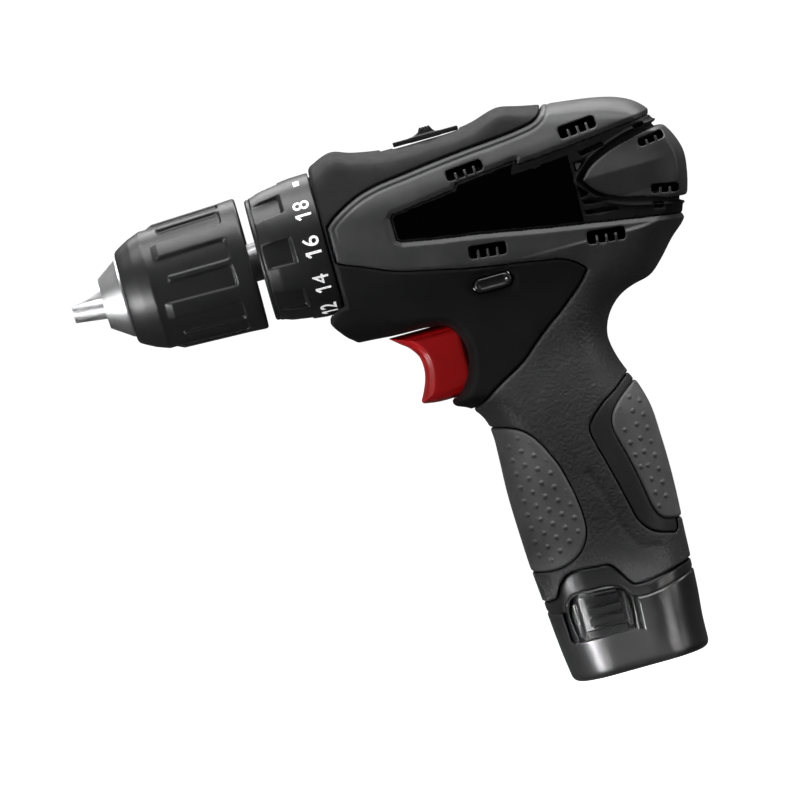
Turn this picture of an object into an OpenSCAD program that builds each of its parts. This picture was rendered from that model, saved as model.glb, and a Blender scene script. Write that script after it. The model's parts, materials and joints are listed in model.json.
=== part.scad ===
/* Cordless drill driver: keyless chuck, three-stage gearbox, clutch collar, brushed motor
   and a stem battery in the handle. The nose points to -X, up is +Z, and the origin is the
   middle of the battery's flat foot. Sizes in millimetres. */

/* [Drive line] */
// Height of the spindle axis above the foot
axis_z = 152; // [150:0.5:154]
// Angle of each chuck jaw to the spindle axis, in degrees
jaw_tilt = 14; // [13:0.5:15]
// Gear module of all three planetary stages
gear_module = 0.8; // [0.79:0.005:0.805]
// Radius of the motor can
motor_r = 18.2; // [17:0.1:18.4]
// Number of grip recesses around the clutch collar
collar_grips = 8; // [6:1:9]
// Number of wide ribs around the chuck sleeve
sleeve_ribs = 6; // [4:1:7]

/* [Body] */
// Half width of the barrel at the spindle axis
barrel_half_w = 26; // [25.5:0.1:28]
// Half width of the handle
handle_half_w = 23; // [23:0.1:25]
// Thickness of the rubber overmould
skin_t = 1.2; // [1:0.1:1.4]
// Thickness of the overmould and the hard shell together
wall_t = 3; // [2.8:0.1:3.2]
// Travel of the speed selector and its shift ring
shift_travel = 4; // [3.5:0.1:4]

/* [Battery] */
// Radius of one lithium cell
cell_r = 9; // [8.8:0.05:9]
// Length of one lithium cell
cell_len = 65; // [60:1:66]
// Half width of the battery foot
foot_half_w = 22.5; // [21:0.1:23]

/* [Hidden] */
$fn = 64;
eps = 0.01;
run_gap = 0.08;                     // running fit of shafts and pins
part_gap = 0.3;                     // air between faceted pieces that move apart
seam_gap = 0.04;                    // hairline between pieces that lie face to face

// Gear teeth: sun, planet and ring of every stage
sun_teeth = 15;
planet_teeth = 12;
ring_teeth = sun_teeth + 2 * planet_teeth;
orbit_r = gear_module * (sun_teeth + planet_teeth) / 2;
sun_r = gear_module * sun_teeth / 2;
ring_r = gear_module * ring_teeth / 2;
pressure_angle = 20;
tooth_up = 0.75 * gear_module;      // height above the pitch circle
tooth_down = 1.1 * gear_module;     // depth below the pitch circle
ring_tooth_up = 0.55 * gear_module; // ring teeth are shorter, to clear the planets' roots
flank_gap = 0.07;                   // backlash taken off each flank
planet_bore_r = 2;
carrier_r = 14.3;

// Places along the spindle axis, from nose to motor
chuck_nose_x = -130;
chuck_back_x = -84;
jaw_tip_x = -140;
jaw_len = 36;
jaw_r = 3.4;
nut_x = [-110.5, -105.5];
collar_x = [-80, -59.2];
neck_x = [-79.5, -56];
neck_r = 11.8;
case_x = [-57.8, -21];
case_r = 19.2;
stage_1_x = [-27, -21];
stage_2_x = [-36.7, -30.5];
stage_3_x = [-51, -43];
plate_1_x = [-29.8, -27.4];
plate_2_x = [-39.6, -37.2];
plate_3_x = [-54, -51.6];
motor_x = [-19.4, 34];
collar_r = 22.4;
collar_bore_r = 17.4;
washer_x = [-60.4, -59.2];
clutch_nut_x = [-71.5, -68];

// Sections of the handle and barrel from the foot up: [z, front x, rear x, half width, squareness]
BODY = [
  [20, -23.6, 24.4, handle_half_w - 0.4, 2.7], [30, -24, 24.6, handle_half_w - 0.2, 2.7],
  [42, -24.8, 25, handle_half_w, 2.7], [55, -25.3, 25.4, handle_half_w, 2.7],
  [68, -25.2, 25.3, handle_half_w, 2.7], [78, -24.9, 24.6, handle_half_w - 0.2, 2.7],
  [86, -26.5, 22.5, handle_half_w - 0.8, 2.7], [92, -32, 20, handle_half_w - 1.6, 2.6],
  [97, -37, 18.6, handle_half_w - 2.4, 2.6], [102, -38, 18, handle_half_w - 3, 2.6],
  [107, -40, 20.2, handle_half_w - 3, 2.6], [112, -48, 26, handle_half_w - 3, 2.8],
  [117, -60, 39, handle_half_w - 3.6, 3.2], [121, -66, 43.5, handle_half_w - 3.6, 4],
  [126, -68, 48.5, handle_half_w - 3, 5], [131, -68, 53.5, handle_half_w - 2, 6],
  [136, -68, 56, handle_half_w - 0.5, 6], [141, -68, 57.2, barrel_half_w - 2, 6],
  [146, -68, 57.6, barrel_half_w - 0.5, 6], [152, -68, 57.4, barrel_half_w, 6],
  [158, -68, 56.5, barrel_half_w - 1, 6], [163, -68, 54.5, barrel_half_w - 3.4, 6],
  [167, -68, 52, barrel_half_w - 6.8, 6], [171, -68, 47, barrel_half_w - 11, 5],
  [174, -68, 38, barrel_half_w - 15, 4], [179, -68, 20, barrel_half_w - 21, 3]
];

// Side outline of the body, nose at the left, clockwise from the nose's lower corner
BODY_SIDE = [
  [-58.3, 130], [-58.3, 175.8], [-52, 178.4], [-50, 178.7], [-45, 177], [-40, 175.9], [-35, 175],
  [-10, 175.2], [-5, 176], [0, 177.6], [2.5, 178.4], [10, 176.8], [18, 175], [30, 173.6],
  [40, 171.4], [45, 168.8], [48.8, 165], [50, 162], [52, 160], [53.5, 156.5], [55.6, 149.5],
  [55.2, 145], [53, 136.5], [52, 134.5], [50.3, 129.8], [45, 125], [40, 119.5], [35, 115.3],
  [25, 112.2], [20, 107.3], [17.7, 101.5], [18.5, 95], [20, 90.5], [23.4, 86], [25.6, 78],
  [26.5, 60], [26.3, 50], [25.8, 38], [25.8, 15], [-25, 15], [-25.8, 38], [-26.5, 55],
  [-26, 80], [-28, 88.5], [-30, 91.2], [-35, 92.8], [-34, 95.2], [-30.5, 97], [-27.3, 102],
  [-25.9, 107.5], [-26.8, 112.8], [-30, 117], [-35, 118], [-55, 119.2], [-60, 121.8],
  [-63.5, 126.8], [-64, 128.2]
];

// Edge of the handle above the battery, from front to rear
BATTERY_SEAM = [
  [-40, 26.9], [-20, 26.9], [-19, 28], [-16.5, 32.3], [-13.5, 34.2], [-5, 34], [-0.5, 33],
  [2, 29.5], [4.5, 25.7], [10, 25.7], [20, 27.4], [80, 36]
];

// Outline of the grey overmould on each side
OVERMOULD_SIDE = [
  [-57.2, 145], [-57.2, 156.5], [-55, 158.5], [-50, 161.5], [-45, 163.7], [-40, 165], [-20, 167.5],
  [0, 169.3], [12, 171], [15.5, 173.5], [17, 182], [70, 182], [70, 10], [-40, 10], [-40, 88],
  [-28.5, 90.3], [-20, 95.2], [-10, 100.8], [0, 109], [10, 116.5], [16.3, 122.8], [14, 125],
  [10, 128], [-10, 131.4], [-25, 134.3], [-35, 136.6], [-45, 139.9]
];

// Outline of the black name plate, left blank, and of the louvres behind it
PLATE_SIDE = [
  [-37.5, 146.2], [-37.5, 155], [-17, 157.2], [-15, 159], [4, 160.8], [2.5, 157.5], [20, 159],
  [20, 136.8], [0, 140], [-25, 144.3]
];
LOUVRE_SIDE = [[20, 159], [48, 163.5], [70, 165], [70, 131.5], [50, 132], [20, 136.8]];

// Outline of the rear cap
CAP_SIDE = [
  [22.3, 149.7], [25, 152.5], [30, 155.4], [35, 157.3], [40, 158.8], [45, 159.5], [70, 160.3],
  [70, 136.3], [52, 136.5], [45, 137.8], [40, 139], [35, 140.3], [30, 142.3], [25, 146]
];

// Outlines of the handle's pads and of the dark strip beside the rear pad
FRONT_PAD_SIDE = [
  [-40, 83.2], [-25, 83.2], [-20, 82.3], [-17, 81], [-14, 78.5], [-11.5, 75], [-9.5, 71],
  [-6.5, 62], [-4.9, 52], [-5.3, 44.5], [-8.5, 39.5], [-14, 36.6], [-18, 36], [-40, 36.5]
];
REAR_PAD_SIDE = [
  [40, 84.8], [19.7, 84.8], [14, 80.5], [12.3, 78.5], [11, 74], [13, 65], [15.5, 52], [16.5, 46.5],
  [18.7, 42.8], [23.3, 41], [40, 41]
];
TRIM_SIDE = [
  [19.7, 84.8], [18.7, 87.6], [10, 82], [5, 77.3], [4, 74.5], [6, 65.5], [10, 48.5], [12.5, 42],
  [17, 38.7], [22.5, 37.3], [23.4, 38.5], [23.3, 41], [18.7, 42.8], [16.5, 46.5], [15.5, 52],
  [13, 65], [11, 74], [12.3, 78.5], [14, 80.5]
];

// Sections of the battery foot: [z, front x, rear x, half width, squareness]
FOOT = [
  [0, -19, 20.6, foot_half_w - 3.4, 2.7], [0.6, -20.3, 21.8, foot_half_w - 2.4, 2.7],
  [2, -21.2, 22.6, foot_half_w - 1.6, 2.7], [8, -22, 23, foot_half_w - 0.9, 2.7],
  [15, -22.7, 23.6, foot_half_w - 0.3, 2.7], [23, -23.3, 24.3, foot_half_w, 2.7],
  [40, -24.1, 24.8, foot_half_w + 0.2, 2.7]
];
stem_centre_x = -0.5;
stem_top_z = 76;
STEM = [[4.4, -19.8, 18.8, 19.5, 3.4], [stem_top_z, -19.8, 18.8, 19.5, 3.4]];
cell_pair_x = -8;

// Vents: [lowest x, lowest z, slant in degrees, number of slots]
VENTS = [[-16.6, 161, 4, 4], [20, 164.6, 3, 4], [-16.8, 135.8, -5, 4], [20, 131.3, -6, 4]];
CAP_VENTS = [[43, 155.4, 0, 3], [43, 139.6, -4, 3]];
vent_pitch = 2.9;
vent_w = 2;
vent_h = 3.2;

// Housing screws, as places in the side view
SCREWS = [[-50, 125], [2, 120.3], [41, 127], [15, 92], [-23.5, 92.5]];
screw_r = 1.5;
screw_tip_y = -5;
screw_head_y = 12.6;
screw_head_h = 2;
screw_well_r = 3;
boss_r = 3.4;

// Inner pieces
magnet_in_r = 13;                   // inside of the field magnets
shaft_r = 1.6;                      // rotor shaft
armature_x = [-9, 21];
commutator_x = [24.5, 31];
commutator_r = 4.6;
pin_orbit_r = 16.4;                 // circle on which the clutch pins stand
clutch_pin_r = 1.9;
clutch_pins_n = 6;
ring_seat_r = case_r - 1.25;        // outside of the ring gears, in the gearbox case
shift_ring_x = [-37.5, -28.4];
shift_groove_x = -33;               // middle of the shift ring's groove
spindle_r = 6;
thread_r = 4.7;                     // spindle nose inside the chuck
chuck_screw_r = 2.5;
bearing_x = [-79, -73];
spring_wire_r = 1;
spring_coil_r = neck_r + 1.8;
spring_turns = 3;
spline_n = 12;                      // splines between the collar and its nut
trigger_half_w = 8.8;
grip_turn = 84;                     // first collar recess, just above the left side's middle
rib_turn = 19;                      // middle of the first space between wide sleeve ribs
sleeve_pocket_w = 6.4;

// Side outline of the trigger
TRIGGER_SIDE = [
  [-47.6, 117.1], [-45, 115.4], [-42, 112.9], [-40.4, 110.5], [-39.9, 107.5], [-40, 105],
  [-40.6, 102.5], [-41.6, 100], [-43.2, 96.9], [-42.6, 95.9], [-23, 95.9], [-23, 117.1]
];

function sgn_pow(v, p) = sign(v) * pow(abs(v), p);

// One ring of a section loft, made smaller by inset all round
function section_ring(s, inset, sides) =
  let (mid = (s[1] + s[2]) / 2, half_l = (s[2] - s[1]) / 2 - inset, half_w = s[3] - inset)
  [for (i = [0:sides - 1]) let (a = 360 * i / sides)
    [mid + half_l * sgn_pow(cos(a), 2 / s[4]), half_w * sgn_pow(sin(a), 2 / s[4]), s[0]]];

// A closed skin through the sections
module section_loft(sections, inset = 0, sides = 28) {
  rows = len(sections);
  points = [for (s = sections) each section_ring(s, inset, sides)];
  walls = [for (r = [0:rows - 2], i = [0:sides - 1])
    let (j = (i + 1) % sides)
    each [
      [r * sides + i, (r + 1) * sides + i, (r + 1) * sides + j],
      [r * sides + i, (r + 1) * sides + j, r * sides + j]
    ]];
  foot = [[for (i = [0:sides - 1]) i]];
  head = [[for (i = [sides - 1:-1:0]) (rows - 1) * sides + i]];
  polyhedron(points, concat(walls, foot, head));
}

// A side-view outline as a prism across the whole width, or across one side of it
module side_prism(outline, y_from = -40, y_to = 40, grow = 0) {
  translate([0, y_to, 0]) rotate([90, 0, 0]) linear_extrude(y_to - y_from)
    offset(delta = grow) polygon(outline);
}

// Turns a shape's +Z to +X and puts it on the spindle axis
module on_axis(x = 0) {
  translate([x, 0, axis_z]) rotate([0, 90, 0]) children();
}

// A cylinder or cone along the spindle axis between two places
module bar(span, r, r_end = 0) {
  on_axis(span[0]) cylinder(h = span[1] - span[0], r1 = r, r2 = r_end > 0 ? r_end : r);
}

// A tube along the spindle axis
module tube(span, r_out, r_in) {
  difference() {
    bar(span, r_out);
    bar([span[0] - 1, span[1] + 1], r_in);
  }
}

// A body of revolution about the spindle axis from [x, r] points
module turned(profile) {
  on_axis() rotate_extrude() polygon([for (p = profile) [p[1], p[0]]]);
}

// The same solid, resolved to one mesh
module as_mesh() {
  resize([0, 0, 0]) children();
}

// ---------------------------------------------------------------- gears

function involute(a) = tan(a) * 180 / PI - a;

function half_tooth(teeth, r, gap) =
  let (pitch_r = gear_module * teeth / 2, base_r = pitch_r * cos(pressure_angle))
  90 / teeth + gap / pitch_r * 180 / PI
    - involute(acos(base_r / max(r, base_r))) + involute(pressure_angle);

function tooth_outline(teeth, radii, gap, turn) =
  [for (i = [0:teeth - 1]) each concat(
    [for (r = radii) let (a = turn + 360 * i / teeth - half_tooth(teeth, r, gap))
      [r * cos(a), r * sin(a)]],
    [for (k = [len(radii) - 1:-1:0])
      let (r = radii[k], a = turn + 360 * i / teeth + half_tooth(teeth, r, gap))
      [r * cos(a), r * sin(a)]]
  )];

module outer_gear(span, teeth, turn = 0) {
  pitch_r = gear_module * teeth / 2;
  radii = [pitch_r - tooth_down, pitch_r - tooth_down / 3, pitch_r + tooth_up / 3, pitch_r + tooth_up];
  on_axis(span[0]) linear_extrude(span[1] - span[0])
    polygon(tooth_outline(teeth, radii, -flank_gap, turn));
}

// The space that a ring gear's teeth leave free
module ring_space(span, gap = flank_gap) {
  radii = [ring_r - ring_tooth_up, ring_r, ring_r + tooth_up + 0.2];
  on_axis(span[0]) linear_extrude(span[1] - span[0])
    polygon(tooth_outline(ring_teeth, radii, gap, 180 / ring_teeth));
}

module ring_gear(span, r_out) {
  difference() {
    bar(span, r_out);
    ring_space([span[0] - 1, span[1] + 1]);
  }
}

// Moves children from the axis to the planet place with number i
module planet_place(i) {
  a = 120 * i;
  translate([0, orbit_r * sin(a), -orbit_r * cos(a)]) children();
}

module planet_gear(span, i) {
  a = 120 * i;
  planet_place(i) difference() {
    outer_gear(span, planet_teeth, 180 + 180 / planet_teeth + a * (1 + sun_teeth / planet_teeth));
    bar([span[0] - 1, span[1] + 1], planet_bore_r);
  }
}

module carrier_pins(span) {
  for (i = [0:2]) planet_place(i) bar(span, planet_bore_r - run_gap);
}

// ---------------------------------------------------------------- housing and skin

module body_solid(inset = 0) {
  intersection() {
    section_loft(BODY, inset);
    side_prism(BODY_SIDE, grow = -inset);
  }
}

module above_battery(gap = 0) {
  edge = [for (p = BATTERY_SEAM) [p[0], p[1] + gap]];
  side_prism(concat(edge, [[80, 200], [-80, 200], [-80, 26.9 + gap]]));
}

module half_space(side) {
  y_low = side > 0 ? seam_gap / 2 : -60;
  translate([-150, y_low, -10]) cube([300, 60 - seam_gap / 2, 300]);
}

module slanted_slots(vents) {
  for (v = vents)
    translate([v[0], -40, v[1]]) rotate([0, -v[2], 0])
      for (k = [0:v[3] - 1]) translate([k * vent_pitch, 0, 0]) cube([vent_w, 80, vent_h]);
}

// Everything on the side that is not hard black shell at the surface
module overmould_region(grow = 0) {
  difference() {
    side_prism(OVERMOULD_SIDE, grow = grow);
    side_prism(PLATE_SIDE, grow = -grow);
    side_prism(LOUVRE_SIDE, grow = -grow);
  }
}

// Everything that lies on the hard shell: the overmould and the name plate
module skin_region(grow = 0) {
  difference() {
    union() {
      side_prism(OVERMOULD_SIDE, grow = grow);
      side_prism(PLATE_SIDE, grow = grow);
    }
    side_prism(LOUVRE_SIDE, grow = -grow);
  }
}

// Room for the gearbox, motor, collar neck, trigger, switches and battery
module works_space() {
  bar([-70, -16], case_r + 1.6);
  bar([-17, 42], motor_r + 0.3);
  translate([-45, -9.6, 95.4]) cube([28, 19.2, 22]);
  translate([-35.5, -7.5, 174.55]) cube([26, 15, 10]);
  translate([-27, -2.5, 165]) cube([9, 5, 12]);
  translate([-19, -40, 124]) cube([13, 80, 5.4]);
  bar([-70, -58.4], collar_r + 0.3);
  section_loft([for (s = STEM) [s[0] + 0.5, s[1], s[2], s[3], s[4]]], -2 * seam_gap, 40);
}

// A round bar across the body at each screw, between two depths
module at_screws(y_from, y_to, r) {
  for (s = SCREWS) translate([s[0], y_from, s[1]]) rotate([-90, 0, 0])
    cylinder(h = y_to - y_from, r = r, $fn = 20);
}

module housing_half(side) {
  color([0.1, 0.1, 0.11]) as_mesh() difference() {
    intersection() {
      union() {
        difference() {
          body_solid();
          body_solid(wall_t);
        }
        intersection() {
          body_solid(skin_t);
          at_screws(-40, 40, boss_r);
        }
      }
      half_space(side);
      above_battery(part_gap);
    }
    difference() {
      skin_region(seam_gap);
      body_solid(skin_t + seam_gap);
    }
    works_space();
    at_screws(screw_tip_y - 1, screw_head_y + 1, screw_r + 0.1);
    at_screws(screw_head_y, 40, screw_well_r);
    side_prism(CAP_SIDE, grow = seam_gap);
    slanted_slots(VENTS);
  }
}

module housing_left() {
  housing_half(-1);
}

module housing_right() {
  housing_half(1);
}

module overmould_half(side) {
  color([0.3, 0.3, 0.31]) as_mesh() difference() {
    intersection() {
      difference() {
        body_solid();
        body_solid(skin_t);
      }
      overmould_region();
      half_space(side);
      above_battery(part_gap);
    }
    side_prism(FRONT_PAD_SIDE, grow = seam_gap);
    side_prism(REAR_PAD_SIDE, grow = seam_gap);
    side_prism(TRIM_SIDE, grow = seam_gap);
    slanted_slots(VENTS);
    at_screws(screw_head_y - 4, 40, screw_well_r);
    works_space();
  }
}

module overmould_left() {
  overmould_half(-1);
}

module overmould_right() {
  overmould_half(1);
}

module label_plate(side) {
  color([0.02, 0.02, 0.02]) as_mesh() intersection() {
    difference() {
      body_solid(0.4);
      body_solid(skin_t);
    }
    side_prism(PLATE_SIDE, grow = -seam_gap);
    half_space(side);
  }
}

module label_plate_left() {
  label_plate(-1);
}

module label_plate_right() {
  label_plate(1);
}

module rear_cap() {
  color([0.33, 0.33, 0.34]) as_mesh() difference() {
    intersection() {
      body_solid();
      side_prism(CAP_SIDE);
    }
    body_solid(wall_t - 0.6);
    slanted_slots(CAP_VENTS);
  }
}

module grip_piece(outline) {
  intersection() {
    difference() {
      body_solid();
      body_solid(skin_t);
    }
    side_prism(outline);
  }
}

module front_grip_pad() {
  color([0.36, 0.36, 0.36]) as_mesh() grip_piece(FRONT_PAD_SIDE);
}

module rear_grip_pad() {
  color([0.36, 0.36, 0.36]) as_mesh() grip_piece(REAR_PAD_SIDE);
}

module rear_grip_trim() {
  color([0.2, 0.2, 0.2]) as_mesh() difference() {
    grip_piece(TRIM_SIDE);
    side_prism(REAR_PAD_SIDE, grow = seam_gap);
  }
}

module housing_screws() {
  color("dimgray") for (s = SCREWS) translate([s[0], screw_tip_y, s[1]]) rotate([-90, 0, 0])
    difference() {
      union() {
        cylinder(h = screw_head_y - screw_tip_y + eps, r = screw_r);
        translate([0, 0, screw_head_y - screw_tip_y]) cylinder(h = screw_head_h, r = 2.7);
      }
      for (a = [0, 90]) rotate(a) translate([-2, -0.4, screw_head_y - screw_tip_y + 0.8]) cube([4, 0.8, 4]);
    }
}

// ---------------------------------------------------------------- motor

module motor_can() {
  color("silver") difference() {
    bar([motor_x[0], motor_x[1]], motor_r);
    bar([motor_x[0] + 1.5, motor_x[1] + 1], motor_r - 1);
    bar([motor_x[0] - 1, motor_x[0] + 2], 4);
    for (a = [0, 90, 180, 270]) rotate_on_axis(a) translate([motor_x[0] - 1, -3, axis_z + 7])
      cube([4, 6, 5]);
  }
}

// Turns children about the spindle axis
module rotate_on_axis(a) {
  translate([0, 0, axis_z]) rotate([a, 0, 0]) translate([0, 0, -axis_z]) children();
}

// A piece of a ring about the spindle axis, centred on +Z
module arc_ring(span, r_out, r_in, half_angle) {
  intersection() {
    tube(span, r_out, r_in);
    translate([span[0], 0, axis_z]) rotate([90, 0, 90]) linear_extrude(span[1] - span[0])
      polygon([[0, 0], for (a = [90 - half_angle:half_angle:90 + half_angle])
        [2 * r_out * cos(a), 2 * r_out * sin(a)]]);
  }
}

module motor_magnets() {
  color("dimgray") for (a = [0, 180])
    rotate_on_axis(a) arc_ring([-9, 21], motor_r - 1 - 0.05, magnet_in_r, 62);
}

module motor_end_bell() {
  color([0.2, 0.2, 0.2]) union() {
    difference() {
      bar([motor_x[1] + 0.05, motor_x[1] + 2.5], motor_r);
      bar([motor_x[1] - 1, motor_x[1] + 4], shaft_r + run_gap);
    }
    tube([motor_x[1] + 2.5, motor_x[1] + 6], 5, shaft_r + run_gap);
    for (s = [-1, 1]) translate([motor_x[1] + 2.5, s * 10 - 2.5, axis_z - 0.4]) cube([4, 5, 0.8]);
  }
}

module motor_brushes() {
  color([0.15, 0.15, 0.16]) for (s = [-1, 1])
    translate([commutator_x[0] + 1, s > 0 ? commutator_r + 0.1 : -11, axis_z - 2])
      cube([4.5, 11 - commutator_r - 0.1, 4]);
}

module motor_leads() {
  lead_r = 1.2;
  lead_x = motor_x[1] + 5;
  bend_z = 133;
  color("firebrick") for (s = [-1, 1]) {
    translate([lead_x, s * 10, bend_z]) cylinder(h = axis_z - 0.5 - bend_z, r = lead_r, $fn = 24);
    translate([lead_x, s * 10, bend_z]) sphere(lead_r, $fn = 24);
    hull() {
      translate([lead_x, s * 10, bend_z]) sphere(lead_r, $fn = 12);
      translate([10, s * 6, 108]) sphere(lead_r, $fn = 12);
    }
  }
}

module rotor_shaft() {
  color("silver") union() {
    bar([stage_1_x[1], motor_x[1] + 5], shaft_r);
    outer_gear([stage_1_x[0] + 0.2, stage_1_x[1]], sun_teeth);
  }
}

module armature() {
  poles = 5;
  color("sienna") difference() {
    bar(armature_x, magnet_in_r - 0.6);
    bar([armature_x[0] - 1, armature_x[1] + 1], shaft_r);
    for (i = [0:poles - 1]) rotate_on_axis(360 / poles * i)
      translate([armature_x[0] - 1, -0.8, axis_z + 7]) cube([40, 1.6, 10]);
  }
}

module commutator() {
  color("peru") tube(commutator_x, commutator_r, shaft_r);
}

module cooling_fan() {
  blades = 9;
  color([0.15, 0.15, 0.15]) union() {
    tube([-16.5, -10], 5, shaft_r);
    tube([-11, -10], magnet_in_r - 0.6, 4.9);
    for (i = [0:blades - 1]) rotate_on_axis(360 / blades * i)
      translate([-15.5, -0.5, axis_z + 4.5]) cube([4.8, 1, magnet_in_r - 5.4]);
  }
}

// ---------------------------------------------------------------- gearbox

module gearbox_case() {
  color([0.55, 0.55, 0.57]) difference() {
    union() {
      bar(case_x, case_r);
      bar([neck_x[0], case_x[0] + 1], neck_r);
    }
    bar([plate_3_x[0] - 0.3, case_x[1] + 1], case_r - 1.2);
    bar([neck_x[0] - 1, case_x[1]], spindle_r + 3);
    for (i = [0:clutch_pins_n - 1]) rotate_on_axis(60 * i)
      translate([0, 0, pin_orbit_r]) bar([case_x[0] - 1, plate_3_x[0] + 1], clutch_pin_r + run_gap);
    for (s = [-1, 1]) translate([shift_groove_x - shift_travel - 1.6, s > 0 ? 15 : -25, axis_z - 1.6])
      cube([shift_travel + 3.2, 10, 3.2]);
  }
}

module motor_plate() {
  color("gainsboro") difference() {
    bar([case_x[1] + 0.05, motor_x[0] - 0.05], case_r);
    bar([case_x[1] - 1, motor_x[0] + 1], sun_r + tooth_up + 0.6);
  }
}

module ring_gear_1() {
  color("slategray") ring_gear([stage_1_x[0] - 0.3, stage_1_x[1] - 0.05], ring_seat_r);
}

module ring_gear_3() {
  color("slategray") union() {
    ring_gear(stage_3_x, ring_seat_r);
    tube([plate_3_x[0] - 0.2, stage_3_x[0]], ring_seat_r, carrier_r + 0.3);
  }
}

module planet_gear_1a() {
  color("silver") planet_gear([stage_1_x[0] + 0.3, stage_1_x[1] - 0.4], 0);
}

module planet_gear_1b() {
  color("silver") planet_gear([stage_1_x[0] + 0.3, stage_1_x[1] - 0.4], 1);
}

module planet_gear_1c() {
  color("silver") planet_gear([stage_1_x[0] + 0.3, stage_1_x[1] - 0.4], 2);
}

// First carrier: toothed rim that the shift ring locks to, pins behind and the second sun in front
module carrier_1() {
  color("darkgray") union() {
    intersection() {
      bar(plate_1_x, ring_r + tooth_up - 0.2);
      ring_space(plate_1_x, -flank_gap);
    }
    carrier_pins([plate_1_x[1], stage_1_x[1] - 0.3]);
    outer_gear([stage_2_x[0] + 0.2, plate_1_x[0]], sun_teeth);
  }
}

module planet_gears_2() {
  color("silver") for (i = [0:2]) planet_gear([stage_2_x[0] + 0.1, stage_2_x[1] - 0.1], i);
}

module carrier_2() {
  color("darkgray") union() {
    bar(plate_2_x, carrier_r);
    carrier_pins([plate_2_x[1], stage_2_x[1]]);
    outer_gear([stage_3_x[0] + 0.2, plate_2_x[0]], sun_teeth);
  }
}

module shift_ring() {
  color("lightsteelblue") difference() {
    ring_gear(shift_ring_x, ring_seat_r - 0.15);
    tube([shift_groove_x - 1.4, shift_groove_x + 1.4], case_r, ring_seat_r - 0.95);
  }
}

module shift_fork() {
  fork_half_w = 1.3;
  bow_r = case_r + 0.25;
  color("gray") union() {
    arc_ring([shift_groove_x - fork_half_w, shift_groove_x + fork_half_w], bow_r + 1.1, bow_r, 97);
    for (s = [-1, 1]) translate([shift_groove_x, s * (ring_seat_r - 0.7), axis_z])
      rotate([-90 * s, 0, 0]) cylinder(h = bow_r - ring_seat_r + 1.2, r = fork_half_w, $fn = 32);
    translate([shift_groove_x, -3, axis_z + bow_r + 0.1]) cube([15, 6, 0.9]);
  }
}

module planet_gear_3a() {
  color("silver") planet_gear([stage_3_x[0] + 0.3, stage_3_x[1] - 0.3], 0);
}

module planet_gear_3b() {
  color("silver") planet_gear([stage_3_x[0] + 0.3, stage_3_x[1] - 0.3], 1);
}

module planet_gear_3c() {
  color("silver") planet_gear([stage_3_x[0] + 0.3, stage_3_x[1] - 0.3], 2);
}

module spindle() {
  color("silver") difference() {
    union() {
      bar([-101, chuck_back_x], thread_r);
      bar([chuck_back_x, plate_3_x[0]], spindle_r);
      bar(plate_3_x, carrier_r);
      carrier_pins([plate_3_x[1], stage_3_x[1]]);
    }
    bar([-102, -86], chuck_screw_r);
  }
}

module spindle_bearing() {
  color("gainsboro") tube(bearing_x, spindle_r + 3 - 0.02, spindle_r + run_gap);
}

// ---------------------------------------------------------------- clutch

module clutch_pins() {
  color("silver") for (i = [0:clutch_pins_n - 1]) rotate_on_axis(60 * i)
    translate([0, 0, pin_orbit_r]) bar([washer_x[1] + 0.1, plate_3_x[0] - 0.3], clutch_pin_r);
}

module clutch_washer() {
  color("gainsboro") tube(washer_x, collar_bore_r - 0.4, neck_r + 0.2);
}

// Compression spring around the neck
module clutch_spring() {
  x_from = clutch_nut_x[1] + spring_wire_r;
  x_to = washer_x[0] - spring_wire_r;
  steps = 24;
  sides = 8;
  rows = spring_turns * steps;
  points = [for (k = [0:rows]) let (a = 360 * k / steps, x = x_from + (x_to - x_from) * k / rows)
    for (j = [0:sides - 1]) let (b = 360 * j / sides, r = spring_coil_r + spring_wire_r * cos(b))
      [x + spring_wire_r * sin(b), r * sin(a), axis_z + r * cos(a)]];
  walls = [for (k = [0:rows - 1], j = [0:sides - 1]) let (n = (j + 1) % sides)
    each [
      [k * sides + j, (k + 1) * sides + j, (k + 1) * sides + n],
      [k * sides + j, (k + 1) * sides + n, k * sides + n]
    ]];
  ends = [[for (j = [0:sides - 1]) j], [for (j = [sides - 1:-1:0]) rows * sides + j]];
  color("gray") polyhedron(points, concat(walls, ends));
}

module collar_splines(span, r_out, half_w) {
  for (i = [0:spline_n - 1]) rotate_on_axis(360 / spline_n * i)
    translate([span[0], -half_w, axis_z + collar_bore_r - 1.6])
      cube([span[1] - span[0], 2 * half_w, r_out]);
}

// Nut that the collar turns along the neck to load the spring
module clutch_nut() {
  color([0.25, 0.25, 0.26]) difference() {
    tube(clutch_nut_x, collar_bore_r - 0.25, neck_r + run_gap);
    collar_splines([clutch_nut_x[0] - 1, clutch_nut_x[1] + 1], 6, 1.3);
  }
}

module torque_collar() {
  grip_pitch = 360 / collar_grips;
  color([0.1, 0.1, 0.11]) union() {
    difference() {
      turned([
        [collar_x[0], neck_r + 0.4], [collar_x[0], 18.8], [-79.2, 19.4], [-75, 20.8], [-70, 21.6],
        [-65, 22.2], [collar_x[1], collar_r], [collar_x[1], collar_bore_r], [-78, collar_bore_r],
        [-78, neck_r + 0.4]
      ]);
      for (i = [0:collar_grips - 1]) rotate_on_axis(grip_turn + grip_pitch * i)
        translate([collar_x[0] - 1, -3.6, axis_z + 19.2]) cube([12.5, 7.2, 5]);
    }
    intersection() {
      collar_splines([-78.1, collar_x[1] - 1.8], 2.2, 1);
      bar(collar_x, collar_bore_r + 0.2);
    }
  }
}

// ---------------------------------------------------------------- chuck

// Where the centre line of a closed jaw runs: its radius at a place along the axis
function jaw_line(x) = 0.1 + (x - jaw_tip_x) * tan(jaw_tilt);

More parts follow.
